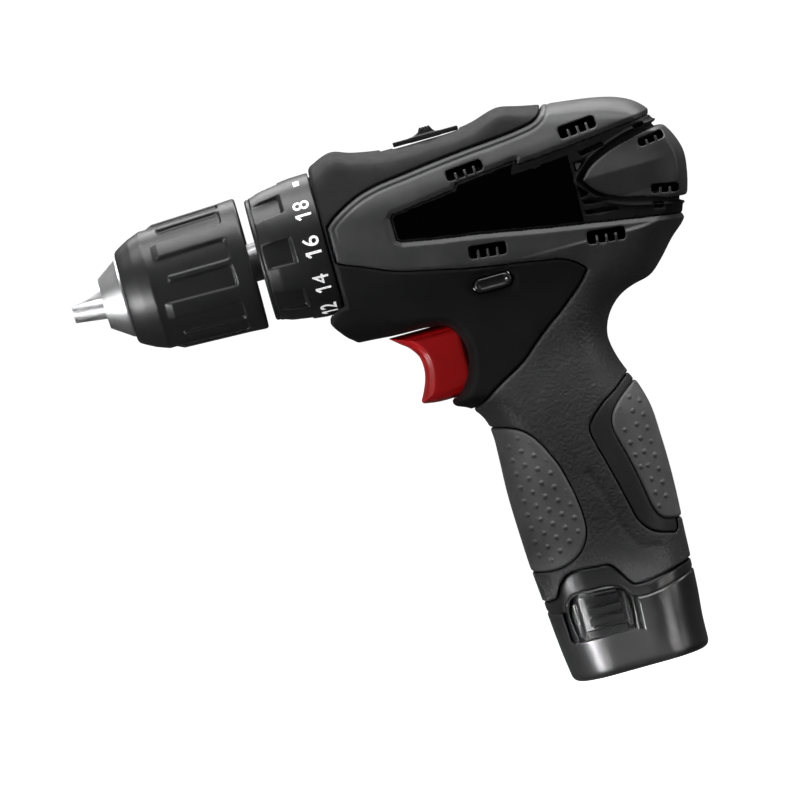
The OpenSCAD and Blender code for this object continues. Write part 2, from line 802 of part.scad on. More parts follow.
module jaw_blank(r, x_from, x_to) {
  len_along = (x_to - x_from) / cos(jaw_tilt);
  translate([x_from, 0, axis_z + jaw_line(x_from)]) rotate([0, 90 - jaw_tilt, 0])
    cylinder(h = len_along, r = r);
}

module chuck_body() {
  color("silver") difference() {
    turned([
      [chuck_nose_x, 5.2], [chuck_nose_x, 7.9], [-123.6, 12.3], [-120, 12.5], [-117.5, 15.2],
      [nut_x[0] - 0.15, 15.2], [nut_x[0] - 0.15, 10.9], [nut_x[1] + 0.15, 10.9],
      [nut_x[1] + 0.15, 17.4], [chuck_back_x, 17.4], [chuck_back_x, thread_r],
      [-101, thread_r], [-104.4, 5.2]
    ]);
    for (i = [0:2]) rotate_on_axis(120 * i) jaw_blank(jaw_r + run_gap, jaw_tip_x - 6, -70);
  }
}

module chuck_screw() {
  color("dimgray") difference() {
    union() {
      bar([-104.2, -101.05], 4.2);
      bar([-101.05, -87], chuck_screw_r - 0.02);
    }
    translate([-105, -0.6, axis_z - 3]) cube([1.8, 1.2, 6]);
  }
}

module chuck_jaw(i) {
  rear_x = jaw_tip_x + jaw_len * cos(jaw_tilt);
  color("silver") rotate_on_axis(120 * i) intersection() {
    jaw_blank(jaw_r, jaw_tip_x - 5, rear_x);
    translate([jaw_tip_x, 0, axis_z]) rotate([90, 0, 90]) linear_extrude(rear_x - jaw_tip_x + 2)
      polygon([
        [0, 0.04], [40 * cos(30), 0.04 + 40 * sin(30)], [0, 60], [-40 * cos(30), 0.04 + 40 * sin(30)]
      ]);
  }
}

module chuck_jaw_1() {
  chuck_jaw(0);
}

module chuck_jaw_2() {
  chuck_jaw(1);
}

module chuck_jaw_3() {
  chuck_jaw(2);
}

// Threaded ring that drives the jaws, shown with a plain conical bore
module chuck_nut() {
  bore_at = [for (x = nut_x) jaw_line(x) + jaw_r / cos(jaw_tilt) + 0.12];
  color("darkgray") turned([
    [nut_x[0], bore_at[0]], [nut_x[0], 16.4], [nut_x[1], 16.4], [nut_x[1], bore_at[1]]
  ]);
}

module chuck_sleeve() {
  rib_pitch = 360 / sleeve_ribs;
  color([0.1, 0.1, 0.11]) difference() {
    turned([
      [-123, 12.7], [-123, 14.3], [-121, 15.6], [-118, 17.2], [-114, 18.7], [-109, 19.6],
      [-84, 20.8], [-83, 20.6], [-82.7, 20.2], [-82.7, 17.6], [nut_x[1] + 0.05, 17.6],
      [nut_x[1] + 0.05, 16.45], [nut_x[0] - 0.1, 16.45], [nut_x[0] - 0.1, 15.4], [-117.6, 15.4],
      [-120.2, 12.7]
    ]);
    for (i = [0:sleeve_ribs - 1], s = [-1, 1])
      rotate_on_axis(rib_turn + rib_pitch * i + s * rib_pitch / 4.8)
        translate([-111, -sleeve_pocket_w / 2, axis_z + 18.9]) rotate([0, -2.7, 0])
          cube([22.5, sleeve_pocket_w, 4]);
  }
}

// ---------------------------------------------------------------- controls

module speed_selector() {
  color([0.08, 0.08, 0.09]) union() {
    translate([-30.7, -6.5, 174.75]) cube([20.7, 13, 1.4]);
    translate([-20.2, 6.5, 0]) rotate([90, 0, 0]) linear_extrude(13)
      polygon([[-3.4, 176.1], [-2.1, 177.2], [-1.9, 178.5], [1.9, 178.5], [2.3, 177.2], [3.6, 176.1]]);
    translate([-22, -2, axis_z + case_r + 1.3]) cube([3.6, 4, 2.3]);
  }
}

module direction_selector() {
  half_l = 21.5;
  color([0.1, 0.1, 0.1]) union() {
    translate([-12.5, half_l, 126.7]) rotate([90, 0, 0]) linear_extrude(2 * half_l) union() {
      translate([-3.7, -2.3]) square([7.4, 4.6]);
      for (s = [-1, 1]) translate([s * 3.7, 0]) circle(2.3);
    }
  }
}

module trigger() {
  color("crimson") union() {
    translate([0, trigger_half_w, 0]) rotate([90, 0, 0]) linear_extrude(2 * trigger_half_w)
      polygon(TRIGGER_SIDE);
    translate([-23.5, 0, 107]) rotate([0, 90, 0]) cylinder(h = 9, r = 2.4, $fn = 32);
  }
}

module switch_body() {
  color([0.12, 0.12, 0.14]) difference() {
    translate([-15.5, -9, 96.5]) cube([24, 18, 19.5]);
    translate([-16, 0, 107]) rotate([0, 90, 0]) cylinder(h = 10.5, r = 2.6, $fn = 32);
  }
}

module contact_block() {
  color([0.12, 0.12, 0.14]) union() {
    translate([-12, -11, stem_top_z + 10]) cube([20, 22, 4]);
    for (y = [-7, 0, 7]) translate([-6, y - 0.4, stem_top_z + 4]) cube([8, 0.8, 6.2]);
  }
}

// ---------------------------------------------------------------- battery

module below_seam() {
  side_prism(concat(BATTERY_SEAM, [[80, -10], [-40, -10]]));
}

module battery_case() {
  color([0.07, 0.07, 0.08]) as_mesh() difference() {
    intersection() {
      section_loft(FOOT);
      below_seam();
    }
    section_loft(STEM, -seam_gap, 40);
    for (s = [-1, 1]) translate([-16.6, s > 0 ? foot_half_w - 2.9 : -40, 12.2])
      cube([19.2, 42.9 - foot_half_w, 15.2]);
  }
}

module battery_stem() {
  color([0.09, 0.09, 0.1]) as_mesh() difference() {
    union() {
      section_loft(STEM, 0, 40);
      translate([stem_centre_x - 10, -13, stem_top_z - 1]) cube([20, 26, 7]);
    }
    section_loft([for (s = STEM) [s[0] - 2, s[1], s[2], s[3], s[4]]], 0.9, 40);
    for (y = [-7, 0, 7]) translate([stem_centre_x - 6.6, y - 1, stem_top_z + 3.2]) cube([10, 2, 10]);
  }
}

module battery_cells() {
  pair_y = cell_r + 0.1;
  places = [[cell_pair_x, pair_y], [cell_pair_x, -pair_y], [cell_pair_x + 2 * pair_y * cos(30), 0]];
  color("royalblue") for (p = places) translate([p[0], p[1], 5]) union() {
    cylinder(h = cell_len, r = cell_r);
    translate([0, 0, cell_len]) cylinder(h = 1, r = 3);
  }
}

module battery_terminals() {
  color("goldenrod") for (y = [-7, 0, 7], s = [-1, 1])
    translate([stem_centre_x - 5.5, y + s * 0.75 - 0.2, stem_top_z + 3.3]) cube([8, 0.4, 2.2]);
}

// Ribbed release button in the battery's side, on the side of the given sign
module latch(side) {
  ribs = 5;
  inner_y = foot_half_w - 1.9;
  depth = 1;
  color([0.1, 0.1, 0.11]) mirror([0, side > 0 ? 0 : 1, 0]) union() {
    translate([-16, inner_y, 12.8]) cube([18, depth, 14]);
    for (k = [0:ribs - 1]) translate([-11.5, inner_y + depth - eps, 13.4 + k * 2.8])
      cube([11, 0.5, 1.4]);
  }
}

module latch_left() {
  latch(-1);
}

module latch_right() {
  latch(1);
}

housing_left();
housing_right();
overmould_left();
overmould_right();
label_plate_left();
label_plate_right();
rear_cap();
front_grip_pad();
rear_grip_pad();
rear_grip_trim();
housing_screws();
motor_can();
motor_magnets();
motor_end_bell();
motor_brushes();
motor_leads();
rotor_shaft();
armature();
commutator();
cooling_fan();
gearbox_case();
motor_plate();
ring_gear_1();
ring_gear_3();
planet_gear_1a();
planet_gear_1b();
planet_gear_1c();
carrier_1();
planet_gears_2();
carrier_2();
shift_ring();
shift_fork();
planet_gear_3a();
planet_gear_3b();
planet_gear_3c();
spindle();
spindle_bearing();
clutch_pins();
clutch_washer();
clutch_spring();
clutch_nut();
torque_collar();
chuck_body();
chuck_screw();
chuck_sleeve();
chuck_nut();
chuck_jaw_1();
chuck_jaw_2();
chuck_jaw_3();
speed_selector();
direction_selector();
trigger();
switch_body();
contact_block();
battery_case();
battery_stem();
battery_cells();
battery_terminals();
latch_left();
latch_right();
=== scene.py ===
"""Cordless drill: finished shells, grips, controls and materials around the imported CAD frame."""

import json
import math

import bmesh
import bpy
import numpy as np
import openvdb as vdb
from mathutils import Matrix, Vector
from numpy import maximum, minimum


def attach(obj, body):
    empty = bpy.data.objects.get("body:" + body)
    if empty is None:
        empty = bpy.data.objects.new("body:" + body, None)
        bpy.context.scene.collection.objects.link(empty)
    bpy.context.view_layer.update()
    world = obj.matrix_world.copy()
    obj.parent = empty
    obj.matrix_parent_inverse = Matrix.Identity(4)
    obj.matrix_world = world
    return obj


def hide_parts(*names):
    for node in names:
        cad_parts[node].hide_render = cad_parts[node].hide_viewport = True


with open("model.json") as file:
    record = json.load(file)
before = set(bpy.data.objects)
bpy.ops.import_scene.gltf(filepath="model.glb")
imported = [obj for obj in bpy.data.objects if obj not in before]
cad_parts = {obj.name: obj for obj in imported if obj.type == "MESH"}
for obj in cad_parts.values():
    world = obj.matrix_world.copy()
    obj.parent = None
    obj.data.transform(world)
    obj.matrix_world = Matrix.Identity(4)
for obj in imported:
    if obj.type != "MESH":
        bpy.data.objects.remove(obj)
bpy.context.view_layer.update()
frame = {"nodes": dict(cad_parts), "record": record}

MM = 0.001
AXIS_Z = 152.0          # height of the drive line, mm
SKIN = 1.3              # thickness of the overmould, mm
SHELL = 3.2             # from the outer surface to the inside of the shell, mm
SEAM = 0.19             # half the width of the gap between neighbouring pieces, mm
SHELL_STEP = 0.33       # sample pitch of the two big shells, mm
FINE_STEP = 0.28        # sample pitch of grips, cap and battery, mm
SMALL_STEP = 0.18       # sample pitch of buttons and latches, mm
TRIGGER_STEP = 0.22     # sample pitch of the trigger, mm
WHEEL_STEP = 0.3        # sample pitch of the collar and the chuck sleeve, mm
CENTRE_GAP = 0.12       # half the width of the gap between the two shells, mm
MESH_ADAPT = 0.004      # how far the mesher may merge flat faces
CURVE_STEP = 1.2        # spacing of the points along a curve, mm


def new_object(name, data):
    made = bpy.data.objects.new(name, data)
    bpy.context.scene.collection.objects.link(made)
    return made


# ---- curves

def stroke(*points):
    """Points along a smooth curve through the given ones. A third column is carried along."""
    p = np.array(points, float)
    span = np.linalg.norm(np.diff(p[:, :2], axis=0), axis=1)[:, None]
    slope = np.diff(p, axis=0) / span
    tangent = np.vstack([
        slope[:1],
        (slope[1:] * span[:-1] + slope[:-1] * span[1:]) / (span[1:] + span[:-1]),
        slope[-1:],
    ])
    out = []
    for i, length in enumerate(span[:, 0]):
        t = np.linspace(0, 1, max(2, int(length / CURVE_STEP)), endpoint=False)[:, None]
        a, b = tangent[i] * length, tangent[i + 1] * length
        out.append(
            (2 * t**3 - 3 * t**2 + 1) * p[i] + (t**3 - 2 * t**2 + t) * a
            + (3 * t**2 - 2 * t**3) * p[i + 1] + (t**3 - t**2) * b
        )
    return np.vstack(out + [p[-1:]])


def outline(*strokes):
    """One closed outline made of strokes that meet at corners."""
    return np.vstack([np.array(s, float) for s in strokes])


def smooth_step(value, start, end):
    t = np.clip((value - start) / (end - start), 0, 1)
    return t * t * (3 - 2 * t)


# ---- shapes as signed distances

def smax(a, b, blend):
    """The larger of two fields, with their meeting edge rounded over a width of blend."""
    h = maximum(blend - np.abs(a - b), 0)
    return maximum(a, b) + h * h / (4 * blend)


def smin(a, b, blend):
    return -smax(-a, -b, blend)


def soften(a, cells):
    """A plane of values averaged three times over a square of 2 * cells + 1."""
    for _ in range(3):
        for axis in (0, 1):
            pad = [(cells + 1, cells) if k == axis else (0, 0) for k in (0, 1)]
            total = np.cumsum(np.pad(a, pad, mode="edge"), axis=axis, dtype=np.float64)
            ahead = np.take(total, range(2 * cells + 1, total.shape[axis]), axis=axis)
            behind = np.take(total, range(0, total.shape[axis] - 2 * cells - 1), axis=axis)
            a = (ahead - behind) / (2 * cells + 1)
    return a.astype(np.float32)


def line_distance(px, pz, points, closed):
    """Distance from each (x, z) to a line, whether it is inside, and the line's third column there."""
    nearest = np.full(px.shape, np.inf, np.float32)
    third = np.zeros(px.shape, np.float32)
    inside = np.zeros(px.shape, bool)
    ends = np.roll(points, -1, axis=0) if closed else points[1:]
    for a, b in zip(points, ends):
        ex, ez = b[0] - a[0], b[1] - a[1]
        if ex * ex + ez * ez < 1e-9:
            continue
        wx, wz = px - a[0], pz - a[1]
        t = np.clip((wx * ex + wz * ez) / (ex * ex + ez * ez), 0, 1)
        gap = (wx - t * ex) ** 2 + (wz - t * ez) ** 2
        if len(a) > 2:
            third = np.where(gap < nearest, a[2] + t * (b[2] - a[2]), third)
        nearest = minimum(nearest, gap)
        if closed and ez != 0:
            inside ^= ((a[1] > pz) != (b[1] > pz)) & (wx < ex * wz / ez)
    return np.sqrt(nearest), inside, third


class Block:
    """Sample points that fill a box, in mm, on which shapes are signed distances, negative inside."""

    def __init__(self, low, high, step):
        axes = [np.arange(a, b + step / 2, step, dtype=np.float32) for a, b in zip(low, high)]
        self.low = np.array([a[0] for a in axes])
        self.step = step
        self.x, self.y, self.z = np.meshgrid(*axes, indexing="ij", sparse=True)
        self.px, self.pz = np.meshgrid(axes[0], axes[2], indexing="ij")

    def plane(self, values):
        """A side-view plane of values, ready to combine with the block."""
        return values.astype(np.float32)[:, None, :]

    def region(self, points, reach=7.0):
        """Signed distance to a side-view outline, exact within reach of it."""
        points = np.asarray(points, float)
        low, high = points[:, :2].min(0) - reach, points[:, :2].max(0) + reach
        near = (self.px >= low[0]) & (self.px <= high[0]) & (self.pz >= low[1]) & (self.pz <= high[1])
        out = np.full(self.px.shape, reach, np.float32)
        if near.any():
            i = np.where(near.any(1))[0]
            k = np.where(near.any(0))[0]
            box = np.ix_(range(i[0], i[-1] + 1), range(k[0], k[-1] + 1))
            gap, inside, _ = line_distance(self.px[box], self.pz[box], points, True)
            out[box] = np.where(inside, -gap, gap)
        return self.plane(out)

    def near_line(self, points):
        """Distance to an open side-view line."""
        return self.plane(line_distance(self.px, self.pz, np.asarray(points, float), False)[0])

    def cylinder(self, x, z, r):
        """A round bar along Y."""
        return self.plane(np.hypot(self.px - x, self.pz - z) - r)

    def box(self, low, high):
        mid = [(a + b) / 2 for a, b in zip(low, high)]
        half = [(b - a) / 2 for a, b in zip(low, high)]
        gaps = [np.abs(v - m) - h for v, m, h in zip((self.x, self.y, self.z), mid, half)]
        return maximum(maximum(gaps[0], gaps[1]), gaps[2])


def sample(field, points):
    """Values of a block's field between its sample points, with points in cells."""
    size = np.array(field.shape) - 2
    base = np.clip(np.floor(points).astype(int), 0, size)
    f = np.clip(points - base, 0, 1)
    total = 0
    for corner in np.ndindex(2, 2, 2):
        weight = np.prod([f[:, k] if c else 1 - f[:, k] for k, c in enumerate(corner)], axis=0)
        total = total + weight * field[tuple((base + corner).T)]
    return total


def skin_mesh(name, block, field, both=False, flip=False):
    """The surface of a field as a smooth mesh object. both mirrors the half block, flip swaps sides."""
    if both:
        field = np.concatenate([field, field[:, -2::-1]], axis=1)
    reach = 3 * block.step
    field = np.clip(field, -reach, reach).astype(np.float32)
    grid = vdb.FloatGrid(reach)
    grid.copyFromArray(field)
    points, triangles, quads = grid.convertToPolygons(isovalue=0.0, adaptivity=MESH_ADAPT)
    slopes = []
    for k in range(3):
        nudge = np.zeros(3)
        nudge[k] = 0.5
        slopes.append(sample(field, points + nudge) - sample(field, points - nudge))
    normals = np.stack(slopes, axis=1)
    normals /= maximum(np.linalg.norm(normals, axis=1, keepdims=True), 1e-6)
    places = points * block.step + block.low
    if flip:
        places[:, 1] *= -1
        normals[:, 1] *= -1
    mesh = bpy.data.meshes.new(name)
    mesh.from_pydata((places * MM).tolist(), [], quads.tolist() + triangles.tolist())
    mesh.validate()
    first = mesh.polygons[0]
    facing = Vector(normals[first.vertices[0]].tolist())
    if first.normal.dot(facing) < 0:
        mesh.flip_normals()
    mesh.shade_smooth()
    mesh.normals_split_custom_set_from_vertices(normals.tolist())
    return new_object(name, mesh)


# ---- outlines, in mm, nose at the left

# The body seen from the side, with the radius to which its edge is rounded
BODY_TOP = stroke(
    (-76, 175.8, 23), (-58, 175.8, 23), (-52, 178.3, 23), (-50, 178.7, 23), (-45, 177, 23),
    (-40, 175.9, 23), (-35, 175.1, 23), (-20, 174.9, 23), (-10, 175.2, 23), (-5, 176, 23),
    (0, 177.6, 23), (2.5, 178.2, 23), (10, 176.8, 23), (16.5, 175.5, 23), (25, 174.4, 23),
    (35, 172.8, 22), (40, 171.4, 21), (45, 168.8, 18), (48.6, 165, 15), (50, 162, 13),
    (53.5, 156.5, 12), (55.6, 149.5, 12), (55.2, 145, 12), (53, 136.5, 12), (52.2, 134.5, 12),
    (50.3, 129.8, 13), (45, 125, 13), (40, 119.5, 13), (35, 115.3, 13), (30, 114.2, 13),
    (25, 112.2, 14), (20, 107.3, 15), (17.7, 101.5, 16), (18.5, 95, 17), (20, 90.5, 17),
    (22.3, 85.5, 17), (24.5, 78, 17), (25.3, 66, 17), (25.3, 50, 17), (24.8, 40, 17),
    (24.3, 28.6, 17), (23.7, 17, 17), (23, 10, 17), (22.8, 4, 17), (22.8, -12, 17),
)
BODY_FRONT = stroke(
    (-21.2, -12, 15), (-21.2, 2, 15), (-22, 8, 15), (-22.7, 15, 15), (-23.6, 26, 15),
    (-24.3, 34, 15), (-25, 48, 15), (-25.3, 62, 15), (-24.8, 75, 15), (-24.7, 80, 14),
    (-26, 86.3, 11), (-28.7, 90, 7), (-31, 91.6, 5), (-34, 92.4, 3), (-35, 93.3, 2.5),
    (-34.4, 94.9, 2.5),
)
TRIGGER_MOUTH = stroke(
    (-33, 95.2, 3), (-30.5, 97, 3), (-28.5, 99.5, 3), (-26.3, 105, 3), (-25.9, 107.5, 3),
    (-26, 110, 3), (-26.8, 112.8, 3), (-28, 115.3, 3), (-30, 117.2, 3), (-35, 118, 4),
    (-45, 118.4, 6), (-50, 118.8, 8), (-55, 119.2, 8), (-76, 119.2, 8),
)
BODY_SIDE = outline(BODY_TOP, BODY_FRONT, TRIGGER_MOUTH)
# Half the body's width at each height
BODY_WIDTH = [
    (-2, 22.0), (12, 22.4), (30, 22.8), (42, 23), (68, 23), (78, 22.8), (86, 22.2), (92, 21.4),
    (97, 20.7), (102, 20.2), (112, 20), (118, 19.8), (123, 20), (128, 20.9), (133, 22.3),
    (138, 23.7), (143, 24.8), (148, 25.6), (153, 26), (180, 26),
]
CHIN = outline(
    stroke((-59.6, 131.5), (-63.2, 129.2), (-64, 128), (-63.5, 126.6), (-62, 124.4), (-60, 121.8),
           (-58, 120.1), (-54, 118.6), (-48, 117.5)),
    [(-48, 131.5)],
)
UPPER_SEAM = stroke(
    (-57.3, 156.4), (-55, 158.5), (-50, 161.5), (-45, 163.7), (-40, 165), (-30, 166.3), (-20, 167.5),
    (-10, 168.5), (0, 169.3), (8, 170.2), (12, 171), (14, 172), (15.5, 173.5), (17, 176.5),
)
PANEL_BOTTOM = stroke(
    (16.4, 122.9), (15.6, 124.2), (14, 125.6), (12, 127), (10, 128), (5, 128.9), (0, 129.9),
    (-10, 131.4), (-20, 133.2), (-30, 135.5), (-40, 137.9), (-50, 142), (-56.6, 144.7),
)
HANDLE_SEAM = stroke(
    (-45, 84), (-33, 88), (-28.5, 90.3), (-25, 92), (-20, 95.2), (-15, 98), (-10, 100.8), (-5, 105),
    (0, 109), (5, 112.5), (10, 116.5), (14, 120), (16.4, 122.9),
)
GREY = outline(
    UPPER_SEAM, [(19, 187), (75, 187), (75, 5), (-45, 5)], HANDLE_SEAM, PANEL_BOTTOM,
    [(-57.4, 145.6)],
)
# The sunk bay in the grey panel: the blank plate in front, louvres and cap behind
BAY_TOP = [(-37.5, 154), (-36.6, 155), (-16.4, 157.4), (-15.4, 159), (4.2, 161), (3.9, 159.4),
           (20.9, 160.7)]
BAY_REAR = [(48, 163.6), (75, 166), (75, 130.5), (50, 131.8)]
BAY_BOTTOM = stroke((20, 136.7), (10, 138.3), (0, 140.1), (-12, 142.3), (-25, 144.3), (-36, 146.3))
BAY = outline(BAY_TOP, BAY_REAR, BAY_BOTTOM, [(-37.5, 147.3)])
PLATE = outline(
    [(-37.5, 154), (-36.6, 155), (-16.4, 157.4), (-15.4, 159), (4.2, 161), (2.2, 157.6), (20.7, 159)],
    BAY_BOTTOM, [(-37.5, 147.3)],
)
CAP = outline(
    stroke((22.3, 149.7), (25, 152.6), (30, 155.5), (35, 157.4), (40, 158.8), (45, 159.5), (51.5, 160),
           (75, 160.6)),
    stroke((75, 136.3), (52, 136.5), (45, 137.8), (40, 139), (35, 140.3), (30, 142.3), (25, 146),
           (22.3, 149.7)),
)
FRONT_PAD = outline(
    stroke((-45, 83.2), (-25, 83.2), (-20, 82.3), (-17, 81), (-14, 78.5), (-11.5, 75), (-9.5, 71),
           (-7.8, 67), (-6.5, 62), (-5.5, 57), (-4.9, 52), (-4.8, 48), (-5.3, 44.5), (-6.5, 42),
           (-8.5, 39.5), (-11, 37.8), (-14, 36.6), (-18, 36), (-24.2, 36.5), (-45, 37)),
)
REAR_PAD = outline(
    stroke((45, 86), (19.7, 84.8), (17, 83), (14, 80.5), (12.3, 78.5), (11.3, 76), (11, 74),
           (11.5, 71), (13, 65), (14.5, 58), (15.5, 52), (16.5, 46.5), (17.3, 44.5), (18.7, 42.8),
           (20.5, 42), (23.3, 41.2), (45, 41)),
)
TRIM_OUTER = stroke(
    (45, 89.5), (18.7, 87.6), (15, 85), (10, 82), (7, 79.5), (5, 77.3), (4.2, 75.8), (4, 74.5),
    (4.7, 70.5), (6, 65.5), (8, 57.5), (10, 48.5), (11, 44.5), (12.5, 42), (14.5, 40), (17, 38.7),
    (20, 37.7), (21.5, 37.3), (22.4, 38.3), (22.7, 41.2),
)
TRIM = outline(TRIM_OUTER, [(45, 41.2)])
BATTERY_SEAM = outline(
    stroke((-40, 26.9), (-21.5, 26.9), (-20, 27.1), (-19, 28), (-18, 30), (-16.5, 32.3), (-15, 33.6),
           (-13.5, 34.2), (-5, 34), (-2, 33.8), (-0.5, 33), (0.5, 31.7), (2, 29.5), (3.5, 27),
           (4.5, 25.9), (6, 25.6), (10, 25.8), (15, 26.5), (20, 27.4), (45, 32.5)),
)
ABOVE_BATTERY = outline(BATTERY_SEAM, [(75, 38), (75, 210), (-90, 210), (-90, 26.9)])
GRIP_CREASE = stroke((0.5, 62), (2.5, 56), (4.5, 49), (5.5, 44), (7, 40.5), (9.5, 36.5), (15, 34.8))
# Vents: low front corner, slope of the row in degrees, how many fins, length, height
VENTS = [(-17.5, 160.1, 4.5, 3, 11.7, 3.5), (19.4, 163.5, 4.5, 3, 11.8, 3.8),
         (-17.5, 135.5, -6.5, 3, 11.7, 4.0), (18.8, 130.1, -6.5, 3, 11.9, 4.1)]
CAP_VENTS = [(42.2, 154.7, 7, 2, 8.2, 2.7), (41.9, 140.1, -11, 2, 8.5, 2.9)]
VENT_PITCH = 2.95
VENT_FIN = 0.85
VENT_ROUND = 1.05
VENT_FIN_RISE = 0.62            # a fin's height as a part of its opening's
SCREWS = [(-50, 125), (2, 120.3), (41, 127), (15, 92), (-23.5, 92.5)]
SCREW_WELL_R = 3.0
SCREW_BOSS_R = 3.4
SCREW_BORE_R = 1.7
SELECTOR = (-12.5, 126.7)       # middle of the direction selector
SELECTOR_HALF = 3.7             # half its straight length
SELECTOR_R = 2.3

EDGE_POWER = 2.3                # 2 rounds the body's edges fully, more makes them squarer
FACET_Y = 23.9                  # the flat side of the barrel, at its front
FACET_TAPER = 0.036             # how much it closes in per mm towards the rear
SHOULDER_LEAN = math.radians(26)
SHOULDER_AT = (23.6, 158)       # half width and height that the leaning upper side goes through
NOSE_X = -58.3
CHIN_BORE_R = 22.9
GEARBOX_BORE_R = 19.4


# ---- the body's outer surface

def body_surface(block):
    """The body's outer surface: rounded barrel with flat facets, neck, handle and chin."""
    gap, inside, radius = line_distance(block.px, block.pz, BODY_SIDE, True)
    depth = np.where(inside, gap, -gap)
    reach = np.clip(1 - depth / maximum(radius, 1), 0, None)
    reach = block.plane(soften(reach, max(1, round(0.9 / block.step))))
    heights, widths = np.array(BODY_WIDTH).T
    half = np.interp(block.pz, heights, widths)
    nose = smooth_step(block.px, -62, -22)
    half = half - (1 - nose) * 1.7 * smooth_step(block.pz, 128, 145)
    half = block.plane(soften(half, round(1.5 / block.step)))
    swell = reach**EDGE_POWER + (np.abs(block.y) / half) ** EDGE_POWER
    swell = swell ** (1 / EDGE_POWER) - 1
    steep = np.sqrt(sum(g * g for g in np.gradient(swell, block.step)))
    surface = swell / maximum(steep, 0.02)
    facet = -block.y - (FACET_Y - FACET_TAPER * (block.x + 57))
    facet = facet - 60 * smooth_step(block.z, 132, 118)
    surface = smax(surface, facet, 0.8)
    outward = -block.y - SHOULDER_AT[0]
    upward = block.z - SHOULDER_AT[1]
    shoulder = outward * math.cos(SHOULDER_LEAN) + upward * math.sin(SHOULDER_LEAN)
    surface = smax(surface, shoulder, 1.2)
    from_axis = np.hypot(block.y, block.z - AXIS_Z)
    chin = smax(block.region(CHIN), CHIN_BORE_R - from_axis, 0.8)
    nose_face = smin(NOSE_X - block.x, chin, 1.0)
    return smax(surface, nose_face, 1.8)


def comb_vents(block, vents):
    """Rounded openings with fins that rise from their lower edge, negative inside the openings."""
    total = None
    for x, z, slope, fins, length, height in vents:
        c, s = math.cos(math.radians(slope)), math.sin(math.radians(slope))
        u = (block.px - x) * c + (block.pz - z) * s - length / 2
        v = -(block.px - x) * s + (block.pz - z) * c - height / 2
        across = maximum(np.abs(u) - length / 2 + VENT_ROUND, 0)
        along = maximum(np.abs(v) - height / 2 + VENT_ROUND, 0)
        opening = np.hypot(across, along) - VENT_ROUND
        for k in range(fins):
            place = (k - (fins - 1) / 2) * VENT_PITCH
            fin = maximum(np.abs(u - place) - VENT_FIN / 2, v + height / 2 - VENT_FIN_RISE * height)
            opening = maximum(opening, -fin)
        total = opening if total is None else minimum(total, opening)
    return block.plane(total)


def capsule(block, half_length, radius):
    """Side-view distance to the direction selector's rounded bar."""
    along = np.clip(block.px - SELECTOR[0], -half_length, half_length)
    gap = np.hypot(block.px - SELECTOR[0] - along, block.pz - SELECTOR[1]) - radius
    return block.plane(gap)


BATTERY_GAP = 0.35              # between the handle's lower edge and the battery
BAY_DEPTH = 1.0                 # how far the bay's floor lies under the surface
PLATE_DEPTH = (0.95, 2.0)       # the blank plate's two faces, under the surface
BORDER_WIDTH = 1.7              # the sloping border of the bay
BORDER_DEPTH = 1.25
LIP_X = -58.55                  # middle of the ring around the nose's opening
TRIGGER_SLOT = ((-52, -9.3, 94.6), (-13, 9.3, 118.4))
SLIDER_WELLS = (((-31.0, -6.8, 174.1), (-9.7, 6.8, 190)), ((-35.1, -6.8, 174.6), (-9.7, 6.8, 190)))
# Walls on the middle plane, behind the lower vents
WEBS = (((12, -1.1, 112), (52, 1, 133.7)), ((-20, -1.1, 129.6), (13, 1, 133.7)))


